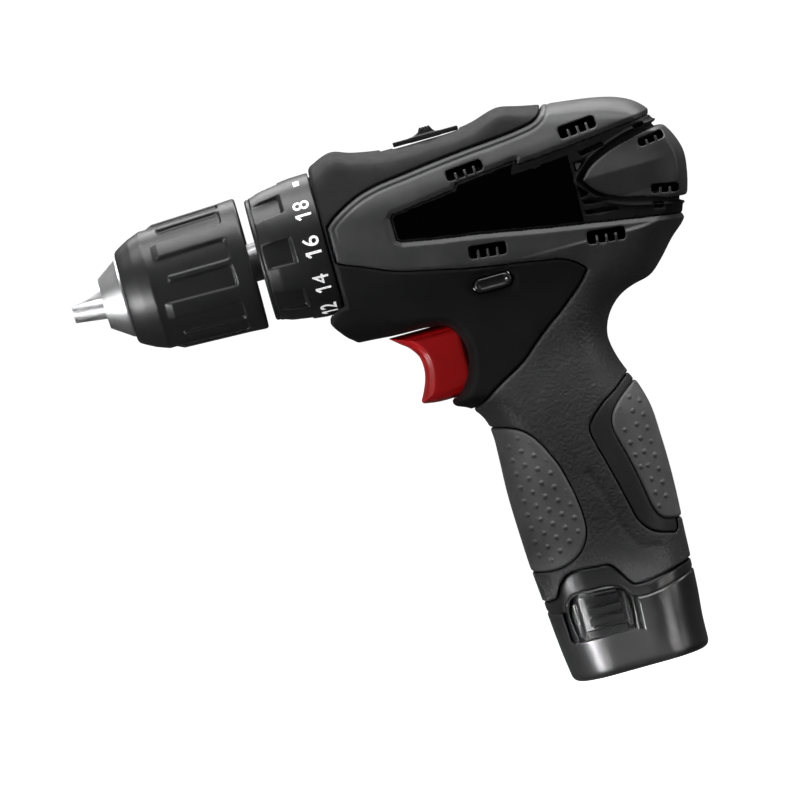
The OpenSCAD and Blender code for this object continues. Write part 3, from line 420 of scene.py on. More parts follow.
def shell_pieces(side):
    """The hard shell, the grey overmould and the blank plate on one side; side is -1 or 1."""
    name = "left" if side < 0 else "right"
    block = SHELL_BLOCK
    surface = SHELL_SURFACE
    parting = block.y + CENTRE_GAP
    above = block.region(ABOVE_BATTERY) + BATTERY_GAP
    inner = -(surface + SHELL)
    grey = block.region(GREY)
    bay = block.region(BAY)
    plate = block.region(PLATE)
    cap = block.region(CAP)
    pads = minimum.reduce([block.region(p) for p in (FRONT_PAD, REAR_PAD, TRIM)])
    vents = comb_vents(block, VENTS)
    outer_half = maximum(parting, above)

    # Hard shell: full height in the black areas, one skin lower under the grey
    hollow = 0.55 * smooth_step(capsule(block, SELECTOR_HALF, SELECTOR_R), 2.6, 0.4)
    black = smax(surface + hollow, SEAM - grey, 0.7)
    rim = 0.6 * np.exp(-(((cap - 1.9) / 0.36) ** 2))
    seat = 1.25 * smooth_step(cap, 1.45, 1.05)
    bay_floor = surface + BAY_DEPTH - rim + seat + louvre_relief(block)
    bay_floor = maximum(bay_floor, bay + 0.02)
    shell = minimum(minimum(black, surface + SKIN + 0.1), bay_floor)
    shell = maximum(shell, np.where(bay < 0.02, bay_floor, -9.0))
    shell = maximum(shell, -cap - 2.2)
    shell = maximum(shell, inner)
    if side > 0:
        wells = minimum.reduce([block.cylinder(x, z, SCREW_WELL_R) for x, z in SCREWS])
        shell = maximum(shell, -maximum(wells, block.y + 12.8))
    bosses = minimum.reduce([block.cylinder(x, z, SCREW_BOSS_R) for x, z in SCREWS])
    bores = minimum.reduce([block.cylinder(x, z, SCREW_BORE_R) for x, z in SCREWS])
    bosses = maximum(maximum(bosses, -bores), surface + 2.2)
    if side > 0:
        bosses = maximum(bosses, -block.y - 12.4)
    shell = minimum(shell, bosses)
    from_axis = np.hypot(block.y, block.z - AXIS_Z)
    shell = maximum(shell, -maximum(from_axis - GEARBOX_BORE_R, block.x + 30))
    lip = maximum(np.abs(block.x - LIP_X) - 0.8, np.abs(from_axis - GEARBOX_BORE_R) - 1.4)
    shell = minimum(shell, lip)
    shell = smax(shell, -block.box(*TRIGGER_SLOT), 0.4)
    shell = maximum(shell, -vents)
    web = minimum(block.box(*WEBS[0]), block.box(*WEBS[1]))
    shell = minimum(shell, maximum(web, surface + 2))
    shell = maximum(shell, -capsule(block, SELECTOR_HALF, SELECTOR_R + 0.25))
    shell = smax(shell, -block.box(*SLIDER_WELLS[0]), 0.4)
    shell = maximum(shell, -block.box(*SLIDER_WELLS[1]))
    shell = maximum(shell, outer_half)
    shell_piece = skin_mesh(f"{name}_shell", block, shell, flip=side > 0)

    # Grey overmould with its bevelled edge, the bay's sloping border and a soft crease in the grip
    upper = smooth_step(block.z, 149, 155)
    bevel = 0.35 * np.exp(-(((grey + 2.1) / 0.45) ** 2)) * upper
    border = BORDER_DEPTH * np.clip(1 - bay / BORDER_WIDTH, 0, 1)
    crease = 0.4 * np.exp(-((block.near_line(GRIP_CREASE) / 1.3) ** 2))
    relief = surface + bevel + border + crease
    overmould = smax(relief, grey + SEAM, 1.5)
    overmould = smax(overmould, 0.05 - bay, 0.5)
    overmould = smax(overmould, SEAM - pads, 0.6)
    overmould = smax(overmould, -vents, 0.5)
    overmould = maximum(overmould, -(surface + SKIN + 0.05))
    if side > 0:
        overmould = smax(overmould, -maximum(wells, block.y + 8), 0.4)
    overmould = maximum(overmould, outer_half)
    overmould_piece = skin_mesh(f"{name}_overmould", block, overmould, flip=side > 0)

    # Blank plate at the bottom of the bay
    blank = smax(surface + PLATE_DEPTH[0], plate + 0.25, 0.4)
    blank = maximum(maximum(blank, -(surface + PLATE_DEPTH[1])), block.y + 9)
    plate_piece = skin_mesh(f"{name}_plate", block, blank, flip=side > 0)
    return shell_piece, overmould_piece, plate_piece


LOUVRE_DEPTH = 1.9
# Black cuts of the bay's rear end
LOUVRES = [
    [(23.5, 158.2), (31.4, 159.4), (31.5, 158.2), (23.7, 157)],
    [(21.2, 155.5), (25.4, 155.6), (22.3, 152.9), (21, 152.6)],
    [(20.6, 148), (23.6, 145.2), (20.6, 144.6)],
    [(20.9, 143.5), (25.9, 143.1), (29.1, 141.4), (20.9, 142.3)],
    [(20.6, 140.4), (30.8, 139.2), (30.8, 138.1), (20.6, 139.2)],
    [(41.8, 161.7), (45.1, 162), (45.3, 161), (42, 160.6)],
    [(41.5, 137.3), (44.8, 136.6), (44.6, 134.8), (41.4, 135.3)],
]


def louvre_relief(block):
    """Depth of the louvre cuts, added to the bay's floor."""
    cuts = minimum.reduce([block.region(p) for p in LOUVRES])
    return LOUVRE_DEPTH * smooth_step(cuts, 0.13, -0.13)


def rear_cap():
    """The cap that closes the rear: a keeled shell with two rows of vents a side."""
    block = Block((19.5, -24.5, 133), (57.5, 0, 164), FINE_STEP)
    surface = body_surface(block)
    edge = block.region(CAP)
    fade = 1 - smooth_step(block.x, 42, 51)
    side_only = smooth_step(-block.y, 6, 12)
    keel = 0.24 * np.clip(np.abs(block.z - 149.9), 0, 8) * fade * side_only
    skin = smax(surface + keel - 0.15 * side_only, edge + 0.2, 1.1)
    skin = smax(skin, -comb_vents(block, CAP_VENTS), 0.3)
    skin = maximum(skin, -(surface + 2.1 + 0.9 * smooth_step(edge, -2.4, -2.8)))
    web = maximum(maximum(-block.y - 0.8, surface + 2), maximum(edge + 1.2, 37 - block.x))
    skin = minimum(skin, web)
    return skin_mesh("rear_cover", block, skin, both=True)


DOT_R = 0.8
DOT_HEIGHT = 0.42
DOT_PITCH = 4.35


def dotted_pad(name, block, outline_points, places, margin):
    """A pad over the front or rear of the handle, with raised dots kept margin clear of its edge."""
    surface = body_surface(block)
    edge = block.region(outline_points)
    nearest = np.full(block.px.shape, 9.0, np.float32)
    for x, z in places:
        nearest = minimum(nearest, np.hypot(block.px - x, block.pz - z))
    dots = block.plane(DOT_HEIGHT * np.clip(1 - (nearest / DOT_R) ** 2, 0, 1))
    inside = block.plane(soften((edge[:, 0] < -margin).astype(np.float32), 1))
    bumps = dots * inside * smooth_step(-block.y, 4, 8)
    skin = smax(surface - 0.1 - bumps, edge + SEAM, 1.1)
    skin = maximum(skin, -(surface + SKIN + 0.05))
    return skin_mesh(name, block, skin, both=True)


def front_grip():
    """Dotted pad on the front of the handle."""
    block = Block((-27.5, -24.5, 33.5), (-3, 0, 85.5), FINE_STEP)
    places = []
    for k, x in enumerate((-21.3, -18.0, -14.6, -11.1, -7.6)):
        start = 39.5 + (2.2 if k % 2 == 0 else 0.0)
        places += [(x, start + DOT_PITCH * i) for i in range(11)]
    return dotted_pad("front_grip", block, FRONT_PAD, places, 2.2)


def rear_grip():
    """Dotted pad on the rear of the handle."""
    block = Block((9.5, -24.5, 39), (27, 0, 90), FINE_STEP)
    places = [(14.6, 79.5), (14.6, 72.3), (15.2, 68), (15.7, 64), (16.2, 60)]
    places += [(18.6, 81.5 - DOT_PITCH * i) for i in range(9)]
    places += [(21.6, 79.5 - DOT_PITCH * i) for i in range(8)]
    return dotted_pad("rear_grip", block, REAR_PAD, places, 1.6)


def grip_trim():
    """Dark strip that frames the rear pad."""
    block = Block((2.5, -24.5, 35.5), (27, 0, 90.5), FINE_STEP)
    surface = body_surface(block)
    edge = block.region(TRIM) + SEAM
    pad = block.region(REAR_PAD)
    skin = smax(surface + 0.25, edge, 0.8)
    skin = smax(skin, SEAM - pad, 0.5)
    ledge = maximum(surface + 0.7, maximum(np.abs(pad - 0.2) - 0.35, edge))
    skin = minimum(skin, ledge)
    skin = maximum(skin, -(surface + SKIN + 0.05))
    return skin_mesh("rear_grip_strip", block, skin, both=True)


# ---- battery

# Lower edge of the band under the handle, which arches over the latch
RIM_LINE = stroke(
    (-40, 23.2), (-23.3, 23.2), (-20.5, 22.4), (-18.9, 22.2), (-17.6, 23.2), (-16.6, 25.2),
    (-14.9, 27), (-12.5, 27.5), (-8.3, 27.3), (-2.9, 27), (-0.6, 26.3), (1.4, 24.6), (3.4, 22),
    (5.8, 21.4), (9.8, 21.5), (18, 23), (24.7, 24.9), (40, 28),
)
LATCH_BAY = stroke(
    (-16.2, 12.4), (-16.2, 25), (-15.6, 26.1), (-13.6, 26.9), (-8.3, 26.7), (-2.9, 26.4),
    (-0.6, 25.9), (1.2, 24.6), (2.1, 23), (2.1, 12.4),
)
GRIP_SLOTS = [
    stroke((-19, 22.4), (-16.9, 22.4), (-16.7, 13.6), (-17.1, 12.7), (-18.1, 12.6), (-18.8, 13.4)),
    [(3.3, 22), (4.6, 21.6), (4.2, 11.4), (2.9, 11.8)],
]


def battery_cover():
    """The battery's outer case: glossy foot, a band set in under the handle, bays for the latches."""
    block = Block((-25, -24.2, -1), (26.5, 0, 36.5), FINE_STEP)
    surface = body_surface(block)
    foot = smax(surface, -block.z, 2.6)
    foot = foot + 0.45 * np.exp(-((block.near_line(RIM_LINE) / 0.36) ** 2))
    above_rim = block.region(outline(RIM_LINE, [(40, 60), (-40, 60)]))
    foot = foot + 0.22 * smooth_step(above_rim, 0.3, -0.3)
    case = smax(foot, 0.3 - block.region(ABOVE_BATTERY), 0.9)
    bay = block.region(LATCH_BAY)
    case = smax(case, -smax(bay, block.y + 16, 0.3), 0.35)
    for points in GRIP_SLOTS:
        slot = block.region(points)
        case = smax(case, -maximum(slot, -(surface + 1.5)), 0.3)
    case = maximum(case, -(surface + 2.2))
    return skin_mesh("battery_cover", block, case, both=True)


# Ribs of the latch: height, half width, ends
LATCH_RIBS = [(25.6, 0.4, -8.9, -1.2), (24, 0.85, -11.4, -0.9), (20.5, 0.95, -11.4, -0.6),
              (17.2, 0.95, -11.5, -0.6), (13.7, 1.15, -13.3, -0.6)]
RIB_ROUND = 0.35
RIB_TILT = 0.25                 # slope of a rib's face, which turns it a little upwards
LATCH_THREADS = (22.2, 18.8, 15.6)


def latch_button(side):
    """Ribbed release button in the battery's side."""
    block = Block((-16.2, -24.2, 11.8), (2.4, -18.2, 27.4), SMALL_STEP)
    surface = body_surface(block)
    left_rail = np.abs(block.x + 15.1) - 0.5
    right_rail = np.abs(block.x - 0.95) - 0.7
    rails = maximum(minimum(left_rail, right_rail), np.abs(block.z - 19.2) - 5.2)
    rails = smax(rails, surface + 0.35, 0.3)
    plate = maximum(np.abs(block.x + 6.2) - 7.4, np.abs(block.z - 19.3) - 6.7)
    button = maximum(surface + 1.6, plate)
    lean = 0.04 * (block.x + 6)
    for z, half, left, right in LATCH_RIBS:
        across = np.abs(block.z - z + lean) - half + RIB_ROUND
        along = np.abs(block.x - (left + right) / 2) - (right - left) / 2 + RIB_ROUND
        bar = np.hypot(maximum(across, 0), maximum(along, 0)) - RIB_ROUND
        tilt = RIB_TILT * (block.z - z)
        button = smin(button, smax(bar, surface + 0.15 + tilt, 0.25), 0.3)
    for z in LATCH_THREADS:
        thread = maximum(np.abs(block.z - z + lean) - 0.2, np.abs(block.x + 6) - 4.8)
        button = smin(button, maximum(thread, surface + 1.2), 0.2)
    button = smin(button, rails, 0.2)
    button = maximum(button, -(surface + 1.9))
    button = maximum(button, block.region(LATCH_BAY) + 0.25)
    name = "latch_button_left" if side < 0 else "latch_button_right"
    return skin_mesh(name, block, button, flip=side > 0)


# ---- controls

def speed_slider():
    """Slider on the top of the barrel: a thin foot under a knob with sloped shoulders."""
    block = Block((-31.2, -7.2, 171.5), (-9.4, 0, 179.5), SMALL_STEP)
    foot = block.box((-30.7, -6.5, 174.75), (-10, 6.5, 176.15))
    lift = np.interp(block.px, [-24.6, -23.4, -22.2, -21.6, -18.4, -17.8, -16.6],
                     [175.9, 176.6, 177.2, 178.5, 178.5, 177.2, 175.9])
    knob = maximum(block.z - block.plane(lift), maximum(-block.y - 6.0, 175 - block.z))
    knob = maximum(knob, np.abs(block.x + 20.6) - 4.4)
    grooves = 0.3 * np.clip(1 - np.abs((block.x + 20) / 0.9 - np.round((block.x + 20) / 0.9)) * 4, 0, 1)
    knob = knob + grooves * (block.z > 178)
    return skin_mesh("speed_slider", block, smin(foot, knob, 0.8), both=True)


def direction_button():
    """Push-through bar behind the trigger, with dished ends."""
    block = Block((-19.2, -22.2, 123.6), (-5.8, 0, 129.8), SMALL_STEP)
    bar = capsule(block, SELECTOR_HALF, SELECTOR_R)
    dish = 0.6 * smooth_step(capsule(block, SELECTOR_HALF - 0.5, 1.0), 0.9, -0.6)
    end = -block.y - 21.4 + dish
    return skin_mesh("direction_button", block, smax(bar, end, 1.3), both=True)


TRIGGER_SIDE = outline(
    stroke((-48.2, 118.05), (-46.6, 116.8), (-45, 115.4), (-43, 113.9), (-41.4, 112), (-40.3, 110),
           (-39.9, 107.5), (-40, 105), (-40.6, 102.5), (-41.6, 100), (-42.7, 97.8), (-43.3, 96.6),
           (-43, 95.9), (-41.8, 95.6), (-24, 95.5)),
    [(-24, 118.05)],
)
TRIGGER_HALF_WIDTH = 8.9


def trigger_paddle():
    """Curved finger paddle with a rounded face."""
    block = Block((-49.5, -9.8, 94.6), (-21.5, 0, 118.8), TRIGGER_STEP)
    profile = block.region(TRIGGER_SIDE, reach=9)
    crown = 1.6 * (np.abs(block.y) / TRIGGER_HALF_WIDTH) ** 2.5
    paddle = smax(profile + crown, -block.y - TRIGGER_HALF_WIDTH, 2.4)
    rim = 0.28 * np.exp(-(((profile + 2.0) / 0.35) ** 2)) * smooth_step(-block.y, 7.4, 8.6)
    paddle = paddle + rim
    rod = maximum(np.hypot(block.y, block.z - 107) - 2.1, np.abs(block.x + 24) - 2.4)
    return skin_mesh("trigger_paddle", block, minimum(paddle, rod), both=True)


# ---- collar and chuck sleeve

def wheel_block(x_from, x_to, reach):
    """Samples around the drive line, with the radius and the angle above the left side's middle."""
    low = (x_from, -reach, AXIS_Z - reach)
    block = Block(low, (x_to, reach, AXIS_Z + reach), WHEEL_STEP)
    radius = np.hypot(block.y, block.z - AXIS_Z)
    angle = np.degrees(np.arctan2(block.z - AXIS_Z, -block.y + 1e-6))
    return block, radius, angle


def around(angle, first, pitch):
    """Degrees from the nearest of the places first, first + pitch and so on."""
    return (angle - first + pitch / 2) % pitch - pitch / 2


def radius_at(x, profile):
    """The radius that a profile of (x, radius) has at x."""
    xs, radii = np.array(profile).T
    return np.interp(x, xs, radii)


COLLAR_PROFILE = [(-80.2, 18.7), (-79.2, 19.3), (-78.7, 19.5), (-75, 20.8), (-70, 21.6),
                  (-65, 22.2), (-58.4, 22.4)]
RECESSES = (2, 45)              # angle of the collar's first recess and their pitch, in degrees


def clutch_collar():
    """Torque collar with eight recesses that open to the front."""
    block, radius, angle = wheel_block(-80.8, -58.4, 23.4)
    groove = 0.35 * np.exp(-(((block.x + 78.7) / 0.28) ** 2))
    skin = radius - radius_at(block.x, COLLAR_PROFILE) + groove
    rear = block.x + np.where(radius < 21.3, 59.75, 58.75)
    skin = smax(skin, maximum(-80 - block.x, rear), 0.4)
    arc = np.radians(around(angle, *RECESSES)) * radius
    floor = 19.5 + 0.055 * (block.x + 79) + 4 * np.clip((block.x + 69.6) / 2.2, 0, 1)
    pocket = smax(np.abs(arc) - 3.75 - 0.02 * (block.x + 79), floor - radius, 0.8)
    skin = smax(skin, -pocket, 0.5)
    bore = np.where(block.x > -78, 17.45, 12.3)
    skin = maximum(skin, bore - radius)
    return skin_mesh("clutch_collar", block, skin)


SLEEVE_PROFILE = [(-123.2, 14.0), (-122.6, 14.6), (-121, 15.6), (-118, 17.2), (-114, 18.7),
                  (-111.5, 18.7), (-109.5, 18.8), (-82, 19.8)]
RIB_PROFILE = [(-113, 17.8), (-111.6, 18.8), (-109.5, 19.75), (-88.5, 20.5), (-84, 20.8), (-82, 20.8)]
BORE_PROFILE = [(-123.2, 12.75), (-120.2, 12.75), (-117.6, 15.4), (-117.5, 15.45), (-110.7, 15.45),
                (-110.6, 16.5), (-105.3, 16.5), (-105.2, 17.6)]
RIB_SPACING = 60
# Sleeve ribs: first angle, half width, where they start
RIBS = [(37, 2.85, -111.6), (7, 1.0, -108.5)]


def sleeve_grip():
    """Chuck sleeve: six wide and six narrow ribs that run back into a raised band."""
    block, radius, angle = wheel_block(-123.6, -82.0, 21.4)
    base = radius - radius_at(block.x, SLEEVE_PROFILE)
    wide, narrow = [
        smax(np.abs(np.radians(around(angle, first, RIB_SPACING)) * radius) - half, start - block.x, 0.8)
        for first, half, start in RIBS
    ]
    band = -88.4 - block.x
    raised = smin(smin(wide, narrow, 0.6), band, 1.6)
    ribs = smax(raised, radius - radius_at(block.x, RIB_PROFILE), 0.7)
    skin = smin(base, ribs, 0.35)
    skin = smax(skin, maximum(-123 - block.x, block.x + 82.7), 0.9)
    skin = maximum(skin, radius_at(block.x, BORE_PROFILE) - radius)
    return skin_mesh("sleeve_grip", block, skin)


NUMBERS_X = -62.9               # middle of the printed numbers
NUMBERS_R = 22.3                # radius on which their widths are true
NUMBER_SIZE = 7.2
PRINT_HALF = 0.06               # half the thickness of the print
FIRST_NUMBER = 32               # angle of the 18, in degrees above the left side's middle
NUMBER_PITCH = 31.7
MARK_ANGLE = 64


def wrap_on_collar(piece, angle):
    """Bends a flat drawing around the collar, its top towards the nose and reading upwards."""
    for vertex in piece.data.vertices:
        u, v, w = vertex.co
        x = NUMBERS_X - v
        radius = float(radius_at(x, COLLAR_PROFILE)) + 0.02 + w
        turn = math.radians(angle) + u / NUMBERS_R
        vertex.co = (x * MM, -radius * math.cos(turn) * MM, (AXIS_Z + radius * math.sin(turn)) * MM)


def add_flag(mesh):
    """Adds the slanted stroke of a leading 1, left of its stem."""
    work = bmesh.new()
    work.from_mesh(mesh)
    left = min(v.co.x for v in work.verts) + 0.02
    top = max(v.co.y for v in work.verts)
    drawing = [(left, top), (left - 1.15, top - 1.15), (left - 0.85, top - 1.85), (left, top - 1.15)]
    back = [work.verts.new((u, v, -PRINT_HALF)) for u, v in drawing]
    front = [work.verts.new((u, v, PRINT_HALF)) for u, v in drawing]
    work.faces.new(front)
    work.faces.new(back[::-1])
    for k in range(4):
        n = (k + 1) % 4
        work.faces.new((back[k], back[n], front[n], front[k]))
    work.to_mesh(mesh)
    work.free()


def collar_numbers():
    """Printed torque numbers and the drilling mark around the collar."""
    pieces = []
    for k, number in enumerate(range(18, 0, -2)):
        text = bpy.data.curves.new(f"number_{number}", "FONT")
        text.body = str(number)
        text.align_x = "CENTER"
        text.align_y = "CENTER"
        text.size = NUMBER_SIZE
        # A thicker 4 would lose its opening
        text.offset = 0.0 if "4" in text.body else 0.06
        text.extrude = PRINT_HALF
        text.resolution_u = 6
        holder = new_object(f"number_{number}_text", text)
        graph = bpy.context.evaluated_depsgraph_get()
        mesh = bpy.data.meshes.new_from_object(holder.evaluated_get(graph))
        bpy.data.objects.remove(holder)
        if number > 9:
            add_flag(mesh)
        pieces.append(new_object(f"collar_number_{number}", mesh))
        wrap_on_collar(pieces[-1], FIRST_NUMBER - NUMBER_PITCH * k)
    mark = bpy.data.meshes.new("collar_mark")
    corners = [(u, v) for u in (-1.6, -0.8, 0, 0.8, 1.6) for v in (-0.95, 0.95)]
    points = [(u, v, w) for w in (-PRINT_HALF, PRINT_HALF) for u, v in corners]
    faces = []
    for k in range(4):
        a = 2 * k
        faces += [(a + 10, a + 12, a + 13, a + 11), (a, a + 1, a + 3, a + 2)]
        faces += [(a, a + 2, a + 12, a + 10), (a + 1, a + 11, a + 13, a + 3)]
    faces += [(0, 10, 11, 1), (8, 9, 19, 18)]
    mark.from_pydata(points, [], faces)
    pieces.append(new_object("collar_drill_mark", mark))
    wrap_on_collar(pieces[-1], MARK_ANGLE)
    bpy.ops.object.select_all(action="DESELECT")
    for piece in pieces:
        piece.select_set(True)
    bpy.context.view_layer.objects.active = pieces[0]
    bpy.ops.object.join()
    joined = bpy.context.view_layer.objects.active
    joined.name = "collar_numbers"
    return joined


# ---- materials

def add(tree, kind, *first, **named):
    """A new shader node. Lower-case names are its settings. The rest are its inputs, by place or
    by name with _ for a space, each given as a value or as the socket that feeds it."""
    node = tree.nodes.new(f"ShaderNode{kind}")
    for key in [k for k in named if k.islower()]:
        setattr(node, key, named.pop(key))
    for key, value in [*enumerate(first), *named.items()]:
        socket = node.inputs[key if isinstance(key, int) else key.replace("_", " ")]
        if isinstance(value, bpy.types.NodeSocket):
            tree.links.new(value, socket)
        else:
            socket.default_value = value
    return node


def node_material(name):
    """An empty material with its Principled shader and object coordinates in millimetres."""
    material = bpy.data.materials.new(name)
    material.use_nodes = True
    tree = material.node_tree
    metres = add(tree, "TexCoord").outputs["Object"]
    mm = add(tree, "VectorMath", metres, operation="SCALE", Scale=1000).outputs["Vector"]
    return material, tree, tree.nodes["Principled BSDF"], mm


def noise(tree, vector, scale, detail=3.0, rough=0.55):
    node = add(tree, "TexNoise", Scale=scale, Detail=detail, Roughness=rough, Vector=vector)
    return node.outputs["Fac"]


def remap(tree, value, low, high, start=0.3, end=0.7):
    node = add(tree, "MapRange", From_Min=start, From_Max=end, To_Min=low, To_Max=high, Value=value)
    return node.outputs["Result"]


def tint(tree, value, dark, light, start=0.3, end=0.7):
    ramp = add(tree, "ValToRGB", Fac=value)
    for stop, place, color in zip(ramp.color_ramp.elements, (start, end), (dark, light)):
        stop.position = place
        stop.color = (*color, 1)
    return ramp.outputs["Color"]


def shade(color, factor):
    return tuple(c * factor for c in color)


def bump(tree, shader, height, distance, after=None):
    node = add(tree, "Bump", Strength=1.0, Distance=distance * MM, Height=height)
    if after:
        tree.links.new(after, node.inputs["Normal"])
    tree.links.new(node.outputs["Normal"], shader.inputs["Normal"])
    return node.outputs["Normal"]


def vary_roughness(tree, shader, value, low, high):
    tree.links.new(remap(tree, value, low, min(1, high)), shader.inputs["Roughness"])


def plastic(name, color, roughness, grain=1.6, depth=0.03, spread=0.18, coat=0.0, specular=0.5):
    """Moulded plastic: slight mottling, a spark-eroded grain and handling marks in the gloss."""
    material, tree, shader, mm = node_material(name)
    cloud = noise(tree, mm, 0.12, 4)
    mottled = tint(tree, cloud, shade(color, 1 - spread), shade(color, 1 + spread))
    tree.links.new(mottled, shader.inputs["Base Color"])
    smear = noise(tree, mm, 0.35, 5, 0.65)
    vary_roughness(tree, shader, smear, roughness * 0.93, roughness * 1.1)
    bump(tree, shader, noise(tree, mm, grain, 2, 0.5), depth)
    shader.inputs["Specular IOR Level"].default_value = specular
    shader.inputs["Coat Weight"].default_value = coat
    shader.inputs["Coat Roughness"].default_value = 0.12
    return material


def rubber(name, color, roughness, cell=0.95, depth=0.19, smooth_above=None):
    """Soft rubber with a leather-like grain that fades out above a height."""
    material, tree, shader, mm = node_material(name)
    cloud = noise(tree, mm, 0.1, 4)
    mottled = tint(tree, cloud, shade(color, 0.82), shade(color, 1.18))
    tree.links.new(mottled, shader.inputs["Base Color"])
    ripple = add(tree, "TexNoise", Scale=0.6, Vector=mm).outputs["Color"]
    warp = add(tree, "VectorMath", ripple, (1.6, 1.6, 1.6), mm, operation="MULTIPLY_ADD")
    grain = add(tree, "TexVoronoi", feature="SMOOTH_F1", Vector=warp.outputs["Vector"], Scale=cell,
                Smoothness=0.6)
    height = grain.outputs["Distance"]
    if smooth_above:
        z = add(tree, "SeparateXYZ", Vector=mm).outputs["Z"]
        fade = remap(tree, z, 1.0, 0.06, smooth_above - 6, smooth_above + 6)
        height = add(tree, "Math", height, fade, operation="MULTIPLY").outputs["Value"]
    pores = noise(tree, mm, 3.0, 2, 0.5)
    first = bump(tree, shader, height, depth)
    bump(tree, shader, pores, 0.03, after=first)
    vary_roughness(tree, shader, pores, roughness * 0.9, roughness * 1.12)
    shader.inputs["Specular IOR Level"].default_value = 0.42
    return material


def metal(name, color, roughness, turned=True, grain=2.2, depth=0.02, spread=0.12):
    """Machined metal: fine turning lines around the drive line, or a plain ground grain."""
    material, tree, shader, mm = node_material(name)
    shader.inputs["Metallic"].default_value = 1.0
    stretch = (grain * 3, 0.05, 0.05) if turned else (0.3, grain, grain)
    stretched = add(tree, "VectorMath", mm, stretch, operation="MULTIPLY")
    lines = noise(tree, stretched.outputs["Vector"], 1.0, 3, 0.6)
    stain = noise(tree, mm, 0.2, 4)
    tree.links.new(tint(tree, stain, shade(color, 1 - spread), color), shader.inputs["Base Color"])
    vary_roughness(tree, shader, lines, roughness * 0.75, roughness * 1.3)
    bump(tree, shader, lines, depth)
    return material


def winding(name, color, roughness, gap_shade_color, wire=0.5):
    """Stripes of two colours with a rounded height, for the turns of a winding; the darker colour, in
    the low gaps between the turns, is painted shade.
    """
    material, tree, shader, mm = node_material(name)
    wave = add(tree, "TexWave", bands_direction="Y", Scale=0.31 / wire, Distortion=0.6, Vector=mm)
    tree.links.new(tint(tree, wave.outputs["Fac"], gap_shade_color, color), shader.inputs["Base Color"])
    shader.inputs["Metallic"].default_value = 0.6
    vary_roughness(tree, shader, noise(tree, mm, 1.5), roughness * 0.8, roughness * 1.2)
    bump(tree, shader, wave.outputs["Fac"], 0.15)
    return material


GREY_PANEL = (0.07, 0.07, 0.0715)
# Maker, slot, colour, roughness and what differs from the maker's defaults
LOOKS = [
    (plastic, "black_shell", (0.0095, 0.0095, 0.01), 0.62, {"specular": 0.22}),
    (plastic, "black_nylon", (0.016, 0.016, 0.017), 0.5, {}),
    (plastic, "black_gloss", (0.011, 0.011, 0.0115), 0.33,
     {"depth": 0.003, "coat": 0.25, "specular": 0.8}),
    (plastic, "black_plate", (0.0004, 0.0004, 0.0004), 0.6, {"depth": 0.01, "specular": 0.02}),
    (plastic, "grey_shell", GREY_PANEL, 0.38, {"depth": 0.02}),
    (rubber, "grey_rubber", GREY_PANEL, 0.46, {"smooth_above": 124}),
    (rubber, "pad_rubber", (0.185, 0.185, 0.188), 0.55, {"cell": 1.8, "depth": 0.05}),
    (rubber, "trim_rubber", (0.042, 0.042, 0.043), 0.5, {"cell": 1.8, "depth": 0.04}),
    (plastic, "red_plastic", (0.74, 0.006, 0.01), 0.3,
     {"grain": 0.8, "depth": 0.004, "spread": 0.05, "coat": 0.5}),
    (metal, "chuck_steel", (0.74, 0.74, 0.75), 0.36, {}),
    (metal, "jaw_steel", (0.8, 0.8, 0.81), 0.48, {"turned": False, "grain": 0.9, "depth": 0.004}),
    (metal, "gear_steel", (0.45, 0.45, 0.46), 0.42, {"turned": False}),
    (metal, "bearing_steel", (0.66, 0.66, 0.67), 0.18, {}),
    (metal, "zinc_steel", (0.6, 0.6, 0.62), 0.3, {}),
    (metal, "dark_steel", (0.12, 0.12, 0.125), 0.38, {"turned": False}),
    (metal, "die_cast", (0.5, 0.5, 0.51), 0.5, {"turned": False, "depth": 0.05}),
    (plastic, "magnet", (0.05, 0.05, 0.055), 0.6, {}),
    (plastic, "carbon", (0.02, 0.02, 0.02), 0.7, {}),
    (metal, "copper", (0.75, 0.38, 0.24), 0.3, {}),
    # The copper winding's darker colour between its turns is painted shade.
    (winding, "copper_winding", (0.72, 0.3, 0.14), 0.35, {"gap_shade_color": (0.28, 0.09, 0.04)}),
    (metal, "contact_brass", (0.78, 0.6, 0.3), 0.3, {"turned": False}),
    (plastic, "red_insulation", (0.45, 0.02, 0.02), 0.4, {}),
    (plastic, "cell_sleeve", (0.02, 0.1, 0.4), 0.3, {"coat": 0.3}),
]
MATERIALS = {name: maker(name, color, rough, **more) for maker, name, color, rough, more in LOOKS}
DRIVE_BLACK = plastic("drive_black", (0.014, 0.014, 0.0145), 0.38, grain=2.2, depth=0.02)
LATCH_BLACK = plastic("latch_black", (0.01, 0.01, 0.0105), 0.3, depth=0.003, specular=0.45)
NUMBER_INK_AND_GLOW = plastic("number_ink_and_glow", (0.86, 0.86, 0.85), 0.4, depth=0.004, spread=0.03)


def self_light(material, strength):
    """Adds a white glow, for a surface that the photograph shows white in the shade too."""
    shader = material.node_tree.nodes["Principled BSDF"]
    shader.inputs["Emission Color"].default_value = (1, 1, 1, 1)
    shader.inputs["Emission Strength"].default_value = strength


# Painted light: the white print of the numbers also glows, so it stays white where shade falls on the
# collar.
self_light(NUMBER_INK_AND_GLOW, 0.45)


# ---- assembly

SHELL_BLOCK = Block((-65.6, -28.4, 23.6), (58.4, 0.4, 182), SHELL_STEP)
SHELL_SURFACE = body_surface(SHELL_BLOCK)


def place(piece, body, slot, *nodes, material=None):
    """Finishes a piece: its material, the body it rides on and the CAD nodes it stands for."""
    piece.data.materials.clear()
    piece.data.materials.append(material or MATERIALS[slot])
    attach(piece, body)
    if nodes:
        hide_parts(*nodes)


for side, name in ((-1, "left"), (1, "right")):
    shell_piece, overmould_piece, plate_piece = shell_pieces(side)
    place(shell_piece, "tool_body", "black_shell", f"housing_{name}")
    place(overmould_piece, "tool_body", "grey_rubber", f"overmould_{name}")
    place(plate_piece, "tool_body", "black_plate", f"label_plate_{name}")
    place(latch_button(side), f"latch_{name}", "black_nylon", f"latch_{name}", material=LATCH_BLACK)

